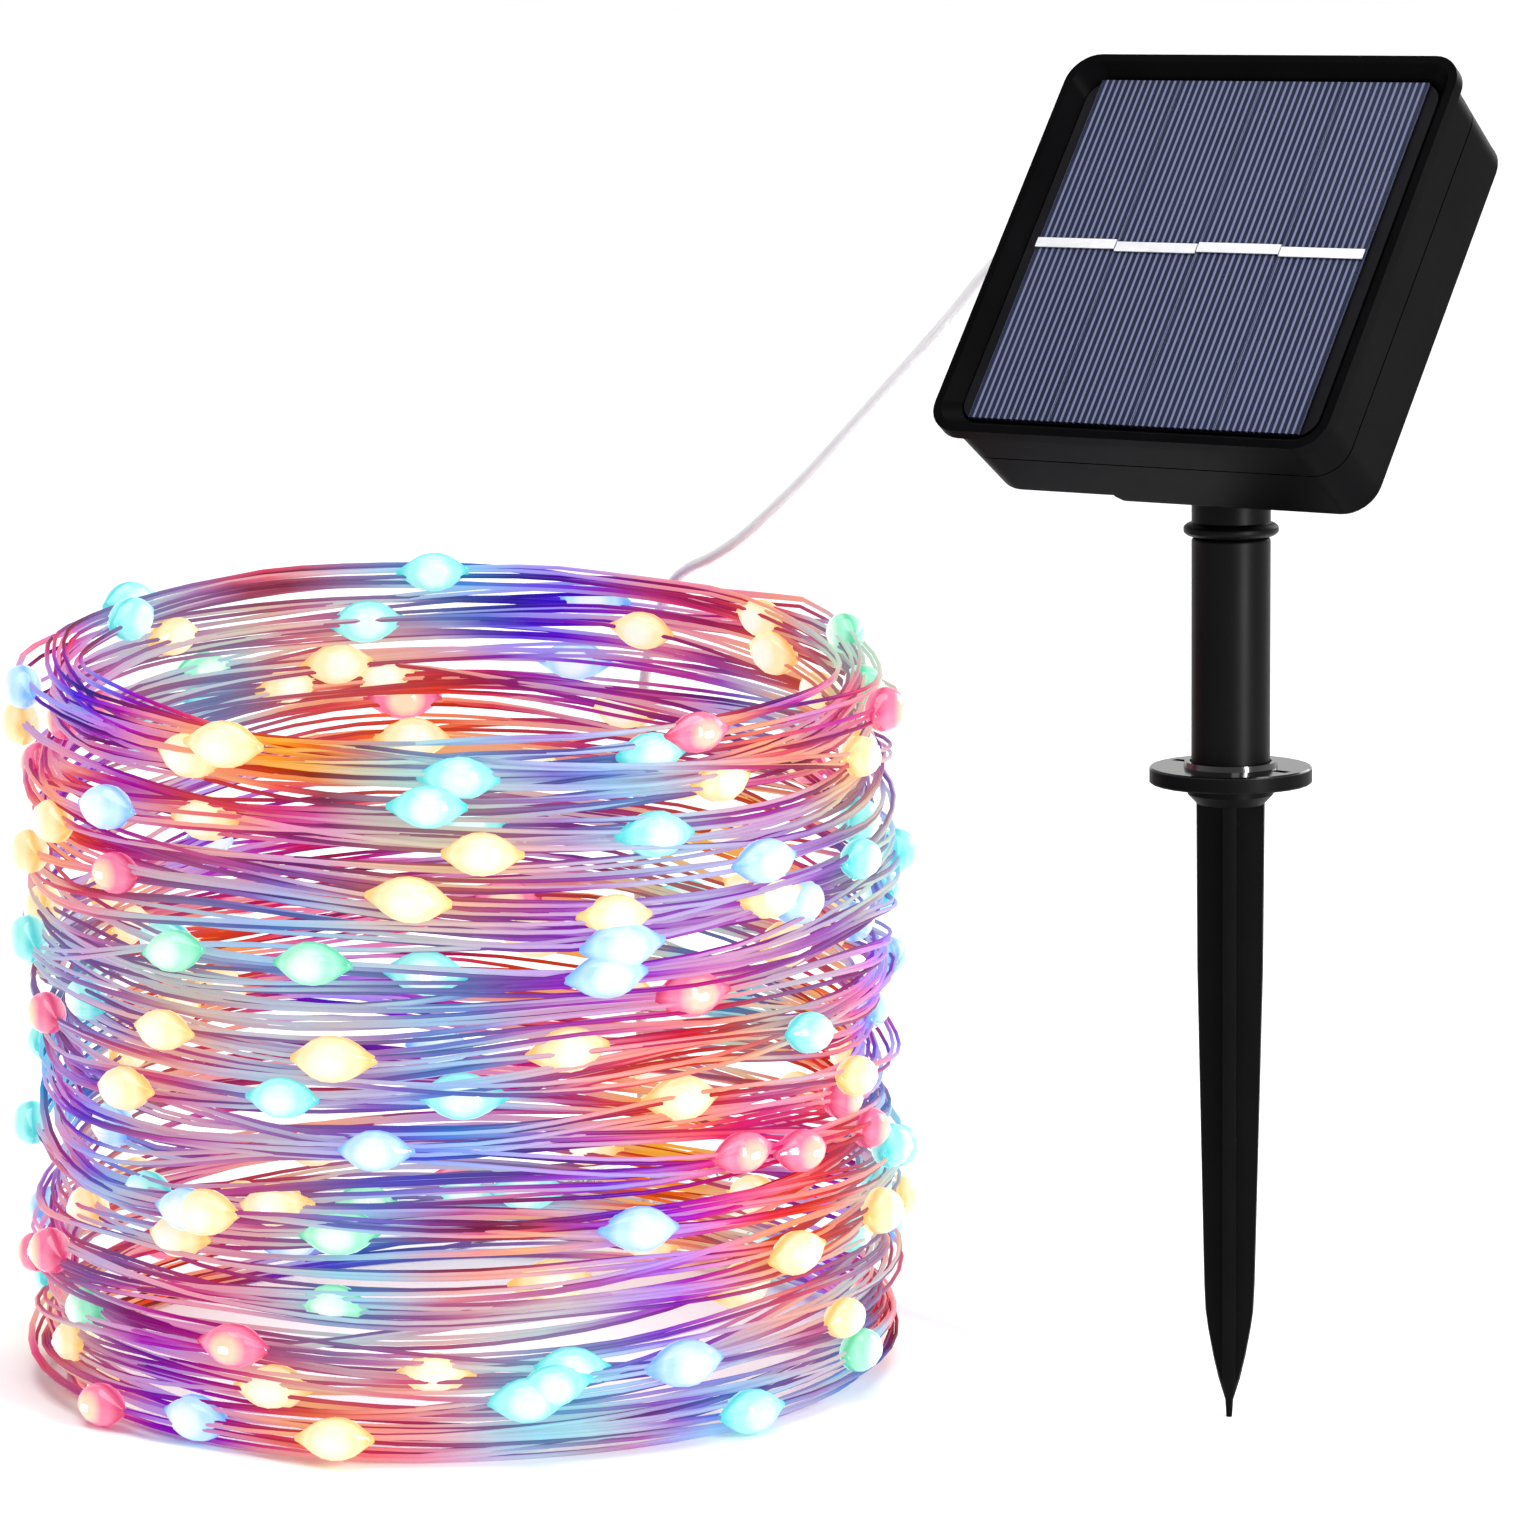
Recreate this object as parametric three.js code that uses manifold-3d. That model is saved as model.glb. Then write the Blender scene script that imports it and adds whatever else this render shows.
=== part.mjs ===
// Solar string lights: a tilting solar panel head on a garden stake, a clear lead, and a coil of LED wire.
// Millimetres, +Z up. The origin is on the pole's axis at the underside of the stake's round flange, where the
// soil surface comes in use. The panel faces -Y and upwards. The coil of lights lies at -X.
import * as THREE from 'three';
import { mergeVertices } from 'three/addons/utils/BufferGeometryUtils.js';
import Module from 'manifold-3d';

// ---- Driving dimensions ----
const GAP = 0.3; // between pieces that touch
const SEGMENTS = 28; // round a turned piece

const CASE_WIDTH = 81.6; // the square front rim
const CORNER = 6; // radius of the case's corners
const FACE_TO_HINGE = 32.8; // from the rim's front plane back to the hinge axis
const CASE_BACK = 10; // the rear shell's back face, ahead of the hinge axis
const PAD_BACK = 8.2; // the raised pad's face, ahead of the hinge axis
const CASE_RISE = 21.6; // the case's centre, above the hinge along the panel
const PANEL_SLOPE = 53; // degrees that the face leans back from lying flat and level
const RIM_WIDTH = 1.6; // the rim, seen from the front
const RIM_DEPTH = 2.6; // the overhanging lip
const LIP_OVERHANG = 1.2;
const SEAM = 21.5; // where the two shells meet, ahead of the hinge axis
const WALL = 1.8;

const CELL_COUNT = 4;
const CELL_WIDTH = 16.9;
const CELL_HEIGHT = 73;
const CELL_PITCH = 17.1;

const HINGE_HEIGHT = 60.7; // above the flange's underside
const POLE_RADIUS = 7.15;
const POLE_TOP = 44.6; // the tube's upper end
const RING_RADIUS = 8.6;
const FLANGE_RADIUS = 14.75;
const FLANGE_THICKNESS = 3;
const HUB_DEPTH = 3.6; // below the flange
const SPIKE_LENGTH = 118; // from the flange's underside to the point
const BLADE_THICKNESS = 2.5;
const SPIKE_TURN = 30.5; // degrees, as the tube was pushed on

const LEAD_RADIUS = 1.2;
const LEAD_COIL_INNER = 7.1;
const LEAD_COIL_OUTER = 19.3;
const LEAD_COIL_HEIGHT = 9.8;
const LEAD_COIL_CENTRE = new THREE.Vector2(-184, 64);
const STRING_RADIUS = 0.75; // the three wires together
const COIL_OUTER = 83.5; // the coil of lights
const COIL_WALL = 12;
const COIL_HEIGHT = 136.5;
const COIL_CENTRE = new THREE.Vector2(-145, -43);
const COIL_SLOPE = 6.1; // degrees that the coil's top rises towards its far side
const COIL_RISES_TO = 142.5; // degrees from +X
const FLOOR = -SPIKE_LENGTH; // the surface that the coil and the spare lead lie on

// ---- Joining and cutting ----
const wasm = await Module();
wasm.setup();

function solid(geometry) {
  const plain = geometry.clone();
  plain.deleteAttribute('normal');
  plain.deleteAttribute('uv');
  const merged = mergeVertices(plain, 1e-4);
  return new wasm.Manifold(new wasm.Mesh({
    numProp: 3,
    vertProperties: new Float32Array(merged.attributes.position.array),
    triVerts: new Uint32Array(merged.index.array),
  }));
}

function geometryOf(manifold) {
  const made = manifold.getMesh();
  const geometry = new THREE.BufferGeometry();
  geometry.setAttribute('position', new THREE.BufferAttribute(made.vertProperties, 3));
  geometry.setIndex(new THREE.BufferAttribute(made.triVerts, 1));
  geometry.computeVertexNormals();
  return geometry;
}

const join = (...geometries) => geometryOf(
  geometries.map(solid).reduce((sum, next) => sum.add(next)),
);
const cut = (body, ...tools) => geometryOf(
  tools.map(solid).reduce((rest, tool) => rest.subtract(tool), solid(body)),
);

// ---- Shapes ----
function box(x0, x1, y0, y1, z0, z1) {
  return new THREE.BoxGeometry(x1 - x0, y1 - y0, z1 - z0)
    .translate((x0 + x1) / 2, (y0 + y1) / 2, (z0 + z1) / 2);
}

function rod(radius, z0, z1, x = 0, y = 0, segments = SEGMENTS) {
  return new THREE.CylinderGeometry(radius, radius, z1 - z0, segments)
    .rotateX(Math.PI / 2)
    .translate(x, y, (z0 + z1) / 2);
}

function rodAlongX(radius, x0, x1, y = 0, z = 0, segments = SEGMENTS) {
  return new THREE.CylinderGeometry(radius, radius, x1 - x0, segments)
    .rotateZ(Math.PI / 2)
    .translate((x0 + x1) / 2, y, z);
}

// A turned piece about Z, from [radius, z] points that go from the bottom axis point up to the top one.
function turned(points, segments = SEGMENTS) {
  return new THREE.LatheGeometry(points.map(([r, z]) => new THREE.Vector2(r, z)), segments)
    .rotateX(Math.PI / 2);
}

function roundedSquare(half, radius) {
  const shape = new THREE.Shape();
  const inner = half - radius;
  shape.absarc(inner, inner, radius, 0, Math.PI / 2);
  shape.absarc(-inner, inner, radius, Math.PI / 2, Math.PI);
  shape.absarc(-inner, -inner, radius, Math.PI, 1.5 * Math.PI);
  shape.absarc(inner, -inner, radius, 1.5 * Math.PI, 2 * Math.PI);
  return shape;
}

// A rounded-square block from z0 to z1 whose half width goes evenly from half0 to half1.
function block(half0, half1, radius, z0, z1) {
  const geometry = new THREE.ExtrudeGeometry(roundedSquare(half0, radius), {
    depth: z1 - z0,
    bevelEnabled: false,
    curveSegments: 4,
  });
  const points = geometry.attributes.position;
  for (let i = 0; i < points.count; i += 1) {
    const grow = 1 + (half1 / half0 - 1) * (points.getZ(i) / (z1 - z0));
    points.setXY(i, points.getX(i) * grow, points.getY(i) * grow);
  }
  return geometry.translate(0, 0, z0);
}

function tube(points, radius, sides = 8, spacing = 6) {
  const path = new THREE.CatmullRomCurve3(points, false, 'centripetal');
  const section = new THREE.Shape();
  for (let i = 0; i < sides; i += 1) {
    const angle = (2 * Math.PI * i) / sides;
    const [x, y] = [radius * Math.cos(angle), radius * Math.sin(angle)];
    if (i === 0) section.moveTo(x, y);
    else section.lineTo(x, y);
  }
  section.closePath();
  return new THREE.ExtrudeGeometry(section, {
    steps: Math.max(2, Math.round(path.getLength() / spacing)),
    extrudePath: path,
    bevelEnabled: false,
  });
}

const vector = ([x, y, z]) => new THREE.Vector3(x, y, z);

// ---- Materials ----
const look = (color, roughness, metalness = 0, extra = {}) => () => new THREE.MeshStandardMaterial({
  color,
  roughness,
  metalness,
  ...extra,
});
const blackPlastic = look(0x17181a, 0.42);
const boardBlack = look(0x0c0d10, 0.5);
const cellBlue = look(0x27335a, 0.25);
const tinned = look(0xd8dade, 0.35, 0.9);
const steel = look(0x9b9ea3, 0.3, 1);
const rubber = look(0x1d1d1f, 0.8);
const circuitGreen = look(0x1f5a36, 0.5);
const batteryWrap = look(0x3b8a4c, 0.4);
const clearCord = look(0xdfe2e4, 0.35, 0, { transparent: true, opacity: 0.8 });
const litWire = look(0xb57a6a, 0.4, 0.6);

// ---- Groups ----
const model = new THREE.Group();
const head = new THREE.Group(); // its own axes: x across, y up along the panel, z out of the face
head.position.set(0, 0, HINGE_HEIGHT);
head.rotation.x = THREE.MathUtils.degToRad(PANEL_SLOPE);
const caseGroup = new THREE.Group(); // the case's own centre line
caseGroup.position.set(0, CASE_RISE, 0);
head.add(caseGroup);
model.add(head);

function part(group, name, geometry, material) {
  const mesh = new THREE.Mesh(geometry, material());
  mesh.name = name;
  group.add(mesh);
  return mesh;
}

// ---- Case shells ----
const HALF = CASE_WIDTH / 2;
const LIP_BACK = FACE_TO_HINGE - RIM_DEPTH;
const HALF_UNDER_LIP = HALF - LIP_OVERHANG;
const HALF_AT_BACK = 39;
const BACK_ROUND = 0.6; // the rounding of the rear shell's back edge
const LEDGE_TOP = 28.1; // the solar board sits on it
const LEDGE_BOTTOM = 25.2;
const LEDGE_HALF = 34;
const BOARD_HALF = 36.7;
const BOARD_THICKNESS = 1.6;
const CAVITY_HALF = 37.6;
const TONGUE_HALF = CAVITY_HALF - GAP;
const TONGUE_TOP = 23.4;
const INNER_HALF = 36.1;
const REAR_FLOOR = 11.8; // inside face of the rear shell's back
const SEAM_CLEAR = GAP / 2;

const halfAt = (z) => HALF_AT_BACK
  + ((HALF_UNDER_LIP - HALF_AT_BACK) * (z - CASE_BACK)) / (LIP_BACK - CASE_BACK);

const SCREW_PLACES = [[-33, -33], [33, -33], [33, 33], [-33, 33]];
const SCREW_RADIUS = 1.2;
const SCREW_HEAD_RADIUS = 2.4;
const SCREW_HEAD_TOP = 13.7; // the case screw's head sits below this, in its recess
const SCREW_TIP = 24.9;
const POST_RADIUS = 2.6;
const BOSS_RADIUS = 4;

function frontBezel() {
  const outside = join(
    block(halfAt(SEAM + SEAM_CLEAR), HALF_UNDER_LIP, CORNER, SEAM + SEAM_CLEAR, LIP_BACK + 0.1),
    block(HALF, HALF, CORNER, LIP_BACK, FACE_TO_HINGE),
  );
  const hollow = cut(
    outside,
    block(BOARD_HALF + GAP, HALF - RIM_WIDTH, CORNER - RIM_WIDTH, LEDGE_TOP + BOARD_THICKNESS, FACE_TO_HINGE + 0.01),
    block(BOARD_HALF + GAP, BOARD_HALF + GAP, CORNER - WALL, LEDGE_TOP, FACE_TO_HINGE - 1),
    block(LEDGE_HALF, LEDGE_HALF, CORNER - WALL, SEAM, LEDGE_TOP + 0.1),
    block(CAVITY_HALF, CAVITY_HALF, CORNER - WALL, SEAM, LEDGE_BOTTOM),
  );
  return cut(
    join(hollow, ...SCREW_PLACES.map(([x, y]) => cornerPost(x, y))),
    ...SCREW_PLACES.map(([x, y]) => rod(SCREW_RADIUS + GAP, SEAM, SCREW_TIP + 0.6, x, y, 16)),
  );
}

// A post in each corner of the front shell takes a case screw.
function cornerPost(x, y) {
  return rod(POST_RADIUS, TONGUE_TOP + 0.4, LEDGE_TOP - 0.1, x, y, 20);
}

const PAD_LEFT = -12.8;
const PAD_SLOPE = 1.6; // the pad's left edge slants over this width
const BUTTON_PLACES = { power: [-5, 17], mode: [15, 17] };
const BUTTON_RADIUS = 4;
const GROMMET_Y = 8;
const GROMMET_Z = 16.6;
const GROMMET_NECK = 2;
const BRACKET_SCREWS = [[-7, 12.5], [7, 12.5]]; // in the head's axes
const BOARD_POSTS = [[-19, 6], [19, 6]]; // they carry the circuit board
const CIRCUIT_BACK = 17.5;

// The back edge is rounded in two steps: half widths and the places where they apply.
const EDGE_STEPS = [
  { half: HALF_AT_BACK - BACK_ROUND * 0.7, rise: 0 },
  { half: HALF_AT_BACK - BACK_ROUND * 0.2, rise: BACK_ROUND * 0.35 },
  { half: halfAt(CASE_BACK + BACK_ROUND), rise: BACK_ROUND },
];

function roundedBack(back, top) {
  const [first, second, last] = EDGE_STEPS;
  return join(
    block(first.half, second.half, CORNER, back, back + second.rise),
    block(second.half, last.half, CORNER, back + second.rise, back + last.rise),
    block(last.half, last.half, CORNER, back + last.rise, top),
  );
}

// The raised pad covers the back as far as the case's edges, except for a strip at the left.
function rearPad() {
  const top = CASE_BACK + BACK_ROUND;
  const outline = new THREE.Shape([
    new THREE.Vector2(PAD_LEFT, top),
    new THREE.Vector2(PAD_LEFT, CASE_BACK),
    new THREE.Vector2(PAD_LEFT + PAD_SLOPE, PAD_BACK),
    new THREE.Vector2(HALF, PAD_BACK),
    new THREE.Vector2(HALF, top),
  ]);
  const slab = new THREE.ExtrudeGeometry(outline, { depth: CASE_WIDTH, bevelEnabled: false })
    .rotateX(Math.PI / 2)
    .translate(0, HALF, 0);
  return geometryOf(solid(slab).intersect(solid(roundedBack(PAD_BACK, top))));
}

function rearCase() {
  const top = CASE_BACK + BACK_ROUND;
  const shell = join(
    roundedBack(CASE_BACK, top + 0.1),
    block(halfAt(top), halfAt(SEAM), CORNER, top, SEAM - SEAM_CLEAR),
    block(TONGUE_HALF, TONGUE_HALF, CORNER - WALL, SEAM - 1, TONGUE_TOP),
    rearPad(),
  );
  const hollow = cut(shell, block(INNER_HALF, INNER_HALF, CORNER - WALL, REAR_FLOOR, TONGUE_TOP + 1));
  const posts = [
    ...SCREW_PLACES.map(([x, y]) => rod(BOSS_RADIUS, REAR_FLOOR - 0.5, TONGUE_TOP, x, y, 20)),
    ...BOARD_POSTS.map(([x, y]) => rod(1.5, REAR_FLOOR - 0.5, CIRCUIT_BACK - GAP, x, y, 12)),
  ];
  const holes = [
    ...SCREW_PLACES.flatMap(([x, y]) => [
      rod(SCREW_RADIUS + GAP, PAD_BACK - 1, TONGUE_TOP + 1, x, y, 16),
      rod(SCREW_HEAD_RADIUS + GAP, PAD_BACK - 1, SCREW_HEAD_TOP + GAP, x, y, 20),
    ]),
    ...Object.values(BUTTON_PLACES).map(
      ([x, y]) => rod(BUTTON_RADIUS + GAP, PAD_BACK - 1, REAR_FLOOR + 1, x, y, 24),
    ),
    ...BRACKET_SCREWS.map(
      ([x, y]) => rod(SCREW_RADIUS + GAP, PAD_BACK - 1, REAR_FLOOR + 1, x, y - CASE_RISE, 16),
    ),
    rodAlongX(GROMMET_NECK + GAP, -HALF, -INNER_HALF + 1, GROMMET_Y, GROMMET_Z, 20),
  ];
  return cut(join(hollow, ...posts), ...holes);
}

function squareRing(outerHalf, innerHalf, radius, z0, z1) {
  return cut(
    block(outerHalf, outerHalf, radius, z0, z1),
    block(innerHalf, innerHalf, radius - (outerHalf - innerHalf), z0 - 1, z1 + 1),
  );
}

function caseScrew() {
  const head = turned([
    [0, SCREW_HEAD_TOP - 1.6],
    [SCREW_HEAD_RADIUS - 0.4, SCREW_HEAD_TOP - 1.6],
    [SCREW_HEAD_RADIUS, SCREW_HEAD_TOP - 1.1],
    [SCREW_HEAD_RADIUS, SCREW_HEAD_TOP],
    [SCREW_RADIUS, SCREW_HEAD_TOP],
    [SCREW_RADIUS, SCREW_TIP - 1],
    [0.4, SCREW_TIP],
    [0, SCREW_TIP],
  ], 14);
  return cut(head, ...crossRecess(SCREW_HEAD_TOP - 1.6, 1.4));
}

// The two arms of a cross-head screw's recess, at z0 and half a millimetre and more deep.
const crossRecess = (z0, reach) => [
  box(-reach, reach, -0.35, 0.35, z0 - 1, z0 + 0.7),
  box(-0.35, 0.35, -reach, reach, z0 - 1, z0 + 0.7),
];

part(caseGroup, 'front_bezel', frontBezel(), blackPlastic);
part(caseGroup, 'rear_case', rearCase(), blackPlastic);
part(
  caseGroup,
  'case_seal',
  squareRing(TONGUE_HALF, INNER_HALF, CORNER - WALL, TONGUE_TOP + GAP, LEDGE_BOTTOM - GAP),
  rubber,
);
SCREW_PLACES.forEach(([x, y], i) => {
  part(caseGroup, `case_screw_${i + 1}`, caseScrew(), steel).position.set(x, y, 0);
});

// ---- Solar panel: black board, cell strips and the ribbon that joins them ----
const BOARD_TOP = LEDGE_TOP + GAP + BOARD_THICKNESS;
const CELL_THICKNESS = 0.4;
const RIBBON_HEIGHT = 2;
const RIBBON_Y = 0.3;
const RIBBON_STEPS = [0.35, -0.1, 0.25, -0.2]; // each segment lies a little higher or lower than the last

part(caseGroup, 'pv_board', block(BOARD_HALF, BOARD_HALF, CORNER - WALL, LEDGE_TOP + GAP, BOARD_TOP), boardBlack);
for (let i = 0; i < CELL_COUNT; i += 1) {
  const x = (i - (CELL_COUNT - 1) / 2) * CELL_PITCH;
  const cellBack = BOARD_TOP + GAP;
  const ribbonBack = cellBack + CELL_THICKNESS + GAP;
  const half = CELL_WIDTH / 2;
  part(
    caseGroup,
    `solar_cell_${i + 1}`,
    box(x - half, x + half, -CELL_HEIGHT / 2, CELL_HEIGHT / 2, cellBack, cellBack + CELL_THICKNESS),
    cellBlue,
  );
  part(
    caseGroup,
    `busbar_${i + 1}`,
    box(x - half, x + half, -RIBBON_HEIGHT / 2, RIBBON_HEIGHT / 2, ribbonBack, ribbonBack + 0.2),
    tinned,
  ).position.y = RIBBON_Y + RIBBON_STEPS[i];
}

// ---- Inside: circuit board, chip, switches, battery and its contacts, wires ----
const CIRCUIT_THICKNESS = 1.6;
const CIRCUIT_FRONT = CIRCUIT_BACK + CIRCUIT_THICKNESS;
const SWITCH_BACK = 15.4;
const BATTERY_RADIUS = 7.25;
const BATTERY_HALF_LENGTH = 25.25;
const BATTERY_Y = -17;
const BATTERY_Z = 20.8;

part(caseGroup, 'circuit_board', box(-23, 23, 3, 31, CIRCUIT_BACK, CIRCUIT_FRONT), circuitGreen);
part(caseGroup, 'controller_chip', box(-3, 3, 13, 18, CIRCUIT_FRONT + GAP, CIRCUIT_FRONT + 1.7), boardBlack);
for (const [name, [x, y]] of Object.entries(BUTTON_PLACES)) {
  const body = join(
    box(-3, 3, -3, 3, SWITCH_BACK + 0.4, CIRCUIT_BACK - GAP),
    rod(1.6, SWITCH_BACK, SWITCH_BACK + 1, 0, 0, 16),
  );
  part(caseGroup, `${name}_switch`, body, boardBlack).position.set(x, y, 0);
}

function battery() {
  const [r, half] = [BATTERY_RADIUS, BATTERY_HALF_LENGTH];
  return turned([
    [0, -half],
    [r - 0.8, -half],
    [r, -half + 0.8],
    [r, half - 1.8],
    [r - 0.8, half - 1],
    [2.7, half - 1],
    [2.7, half],
    [0, half],
  ], 20).rotateY(Math.PI / 2);
}

// A coiled spring against the battery's flat end, with its last turn closed on itself.
function batterySpring() {
  const turns = 3.5;
  const points = [];
  for (let i = 0; i <= turns * 10; i += 1) {
    const share = i / (turns * 10);
    const angle = 2 * Math.PI * turns * share;
    const radius = 2.2 + 1.6 * share;
    points.push(new THREE.Vector3(share * 4, radius * Math.cos(angle), radius * Math.sin(angle)));
  }
  return tube(points, 0.35, 5, 2.2);
}

part(caseGroup, 'battery', battery(), batteryWrap).position.set(0, BATTERY_Y, BATTERY_Z);
part(caseGroup, 'battery_spring', batterySpring().rotateY(Math.PI), steel)
  .position.set(-BATTERY_HALF_LENGTH - GAP - 0.4, BATTERY_Y, BATTERY_Z);
part(
  caseGroup,
  'battery_plate',
  box(0, 0.6, -4.5, 4.5, -5.5, 5.5),
  tinned,
).position.set(BATTERY_HALF_LENGTH + GAP, BATTERY_Y, BATTERY_Z);

const WIRE_ROUTES = {
  panel_wire_positive: [[-8, 27, 19.6], [-8.5, 27, 22], [-6, 25, 24.6], [-5, 24, 27.9]],
  panel_wire_negative: [[8, 27, 19.6], [8.5, 27, 22], [6, 25, 24.6], [5, 24, 27.9]],
  battery_wire_positive: [[27.2, -16.8, 20.8], [28.6, -14, 21], [28.4, -6, 21.6], [24, 2, 21.6], [20, 6, 19.9]],
  battery_wire_negative: [[-31.2, -16.8, 20.8], [-31.8, -12, 21], [-30, -4, 21.6], [-25, 2, 21.6], [-20, 6, 19.9]],
};
for (const [name, route] of Object.entries(WIRE_ROUTES)) {
  part(caseGroup, name, tube(route.map(vector), 0.5, 6, 2.5), rubber);
}

// ---- Buttons: each cap stands out of the back, with a collar and a short stem inside ----
const BUTTON_OUT = PAD_BACK - 1.3;
const COLLAR_BACK = REAR_FLOOR + GAP;
const STEM_RADIUS = 1.5;
const STEM_END = SWITCH_BACK - 1.3; // short of the switch's plunger by more than the button's travel
for (const [name, [x, y]] of Object.entries(BUTTON_PLACES)) {
  const cap = turned([
    [0, BUTTON_OUT],
    [BUTTON_RADIUS - 0.7, BUTTON_OUT + 0.1],
    [BUTTON_RADIUS, BUTTON_OUT + 0.7],
    [BUTTON_RADIUS, COLLAR_BACK],
    [BUTTON_RADIUS + 1.2, COLLAR_BACK],
    [BUTTON_RADIUS + 1.2, COLLAR_BACK + 0.6],
    [STEM_RADIUS, COLLAR_BACK + 0.6],
    [STEM_RADIUS, STEM_END],
    [0, STEM_END],
  ], 20);
  part(caseGroup, `${name}_button`, cap, rubber).position.set(x, y, 0);
}

// ---- Cable grommet: collars on both sides of the wall and a tapered nose ----
const WALL_FACE = halfAt(GROMMET_Z);
const NOSE_END = 45.1; // from the case's centre plane
part(caseGroup, 'cable_grommet', turned([
  [0, INNER_HALF - GAP - 1],
  [2.9, INNER_HALF - GAP - 1],
  [2.9, INNER_HALF - GAP],
  [GROMMET_NECK, INNER_HALF - GAP],
  [GROMMET_NECK, WALL_FACE + GAP],
  [2.9, WALL_FACE + GAP],
  [2.9, WALL_FACE + 1.3],
  [2.2, WALL_FACE + 1.8],
  [1.7, NOSE_END],
  [0, NOSE_END],
], 16).rotateY(-Math.PI / 2), rubber).position.set(0, GROMMET_Y, GROMMET_Z);

// ---- Tilt bracket: a plate on the pad with two ears round the pole head's lug (head axes) ----
const BRACKET_THICKNESS = 2;
const BRACKET_FACE = PAD_BACK - GAP;
const BRACKET_LOW = -6.5;
const BRACKET_HIGH = 16.5;
const BRACKET_HALF = 10;
const EAR_RADIUS = 5.5;
const EAR_INNER = 3.4;
const EAR_OUTER = 6.4;
const BOLT_RADIUS = 2;

function ear(x0, x1) {
  const outline = new THREE.Shape();
  outline.absarc(0, 0, EAR_RADIUS, Math.PI / 2, 1.5 * Math.PI);
  outline.lineTo(BRACKET_FACE - 1, -EAR_RADIUS);
  outline.lineTo(BRACKET_FACE - 1, EAR_RADIUS);
  outline.closePath();
  // the outline's x runs along the head's z, and the extrusion along the head's x
  return new THREE.ExtrudeGeometry(outline, { depth: x1 - x0, bevelEnabled: false, curveSegments: 10 })
    .rotateY(-Math.PI / 2)
    .translate(x1, 0, 0);
}

function tiltBracket() {
  const plate = box(-BRACKET_HALF, BRACKET_HALF, BRACKET_LOW, BRACKET_HIGH,
    BRACKET_FACE - BRACKET_THICKNESS, BRACKET_FACE);
  const whole = join(plate, ear(-EAR_OUTER, -EAR_INNER), ear(EAR_INNER, EAR_OUTER));
  return cut(
    whole,
    rodAlongX(BOLT_RADIUS + GAP, -HALF, HALF, 0, 0, 24),
    ...BRACKET_SCREWS.map(([x, y]) => rod(SCREW_RADIUS + GAP, 0, CASE_BACK, x, y, 16)),
  );
}

// ---- Tilt bolt and knob (head axes) ----
function bracketScrew() {
  const outside = BRACKET_FACE - BRACKET_THICKNESS;
  const body = turned([
    [0, outside - GAP - 1.4],
    [1.6, outside - GAP - 1.4],
    [SCREW_HEAD_RADIUS, outside - GAP - 0.6],
    [SCREW_HEAD_RADIUS, outside - GAP],
    [SCREW_RADIUS, outside - GAP],
    [SCREW_RADIUS, REAR_FLOOR + 1.8],
    [0.4, REAR_FLOOR + 2.8],
    [0, REAR_FLOOR + 2.8],
  ], 14);
  return cut(body, ...crossRecess(outside - GAP - 1.4, 1.2));
}

function tiltKnob() {
  const [x0, x1, radius, ridges] = [EAR_OUTER + GAP, EAR_OUTER + GAP + 6.5, 5.4, 12];
  const grooves = [];
  for (let i = 0; i < ridges; i += 1) {
    const angle = (2 * Math.PI * i) / ridges;
    grooves.push(rodAlongX(0.8, x0 + 1, x1 + 1, radius * Math.cos(angle), radius * Math.sin(angle), 8));
  }
  return cut(rodAlongX(radius, x0, x1), rodAlongX(BOLT_RADIUS + GAP, x0 - 1, x0 + 4.3, 0, 0, 20), ...grooves);
}

function tiltBolt() {
  const head = rodAlongX(3.6, -EAR_OUTER - GAP - 2.4, -EAR_OUTER - GAP, 0, 0, 6);
  return join(head, rodAlongX(BOLT_RADIUS, -EAR_OUTER - 1, EAR_OUTER + GAP + 4, 0, 0, 20));
}

part(head, 'tilt_bracket', tiltBracket(), blackPlastic);
BRACKET_SCREWS.forEach(([x, y], i) => {
  part(head, `bracket_screw_${i + 1}`, bracketScrew(), steel).position.set(x, y, 0);
});
part(head, 'tilt_bolt', tiltBolt(), steel);
part(head, 'tilt_knob', tiltKnob(), blackPlastic);

// ---- Stake: post with its ring, tube, spike with its flange ----
const PLUG_RADIUS = 5.45;
const TUBE_INNER = 5.75;
const POST_TOP = HINGE_HEIGHT - 6.7;
const LUG_RADIUS = 5;
const RING_HALF = 1.15; // half the ring's height

function poleHead() {
  const ringBottom = POLE_TOP + GAP;
  const post = turned([
    [0, POLE_TOP - 10],
    [PLUG_RADIUS - 0.5, POLE_TOP - 10],
    [PLUG_RADIUS, POLE_TOP - 9.5],
    [PLUG_RADIUS, ringBottom],
    [RING_RADIUS - 0.8, ringBottom],
    [RING_RADIUS, ringBottom + RING_HALF * 0.6],
    [RING_RADIUS, ringBottom + RING_HALF * 1.4],
    [RING_RADIUS - 0.8, ringBottom + RING_HALF * 2],
    [POLE_RADIUS, ringBottom + RING_HALF * 2],
    [POLE_RADIUS, POST_TOP - 1.4],
    [POLE_RADIUS - 0.7, POST_TOP],
    [0, POST_TOP],
  ]);
  const lugHalf = EAR_INNER - GAP;
  const lug = join(
    box(-lugHalf, lugHalf, -LUG_RADIUS, LUG_RADIUS, POST_TOP - 1, HINGE_HEIGHT),
    rodAlongX(LUG_RADIUS, -lugHalf, lugHalf, 0, HINGE_HEIGHT, 28),
  );
  return cut(join(post, lug), rodAlongX(BOLT_RADIUS + GAP, -10, 10, 0, HINGE_HEIGHT, 24));
}

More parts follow.
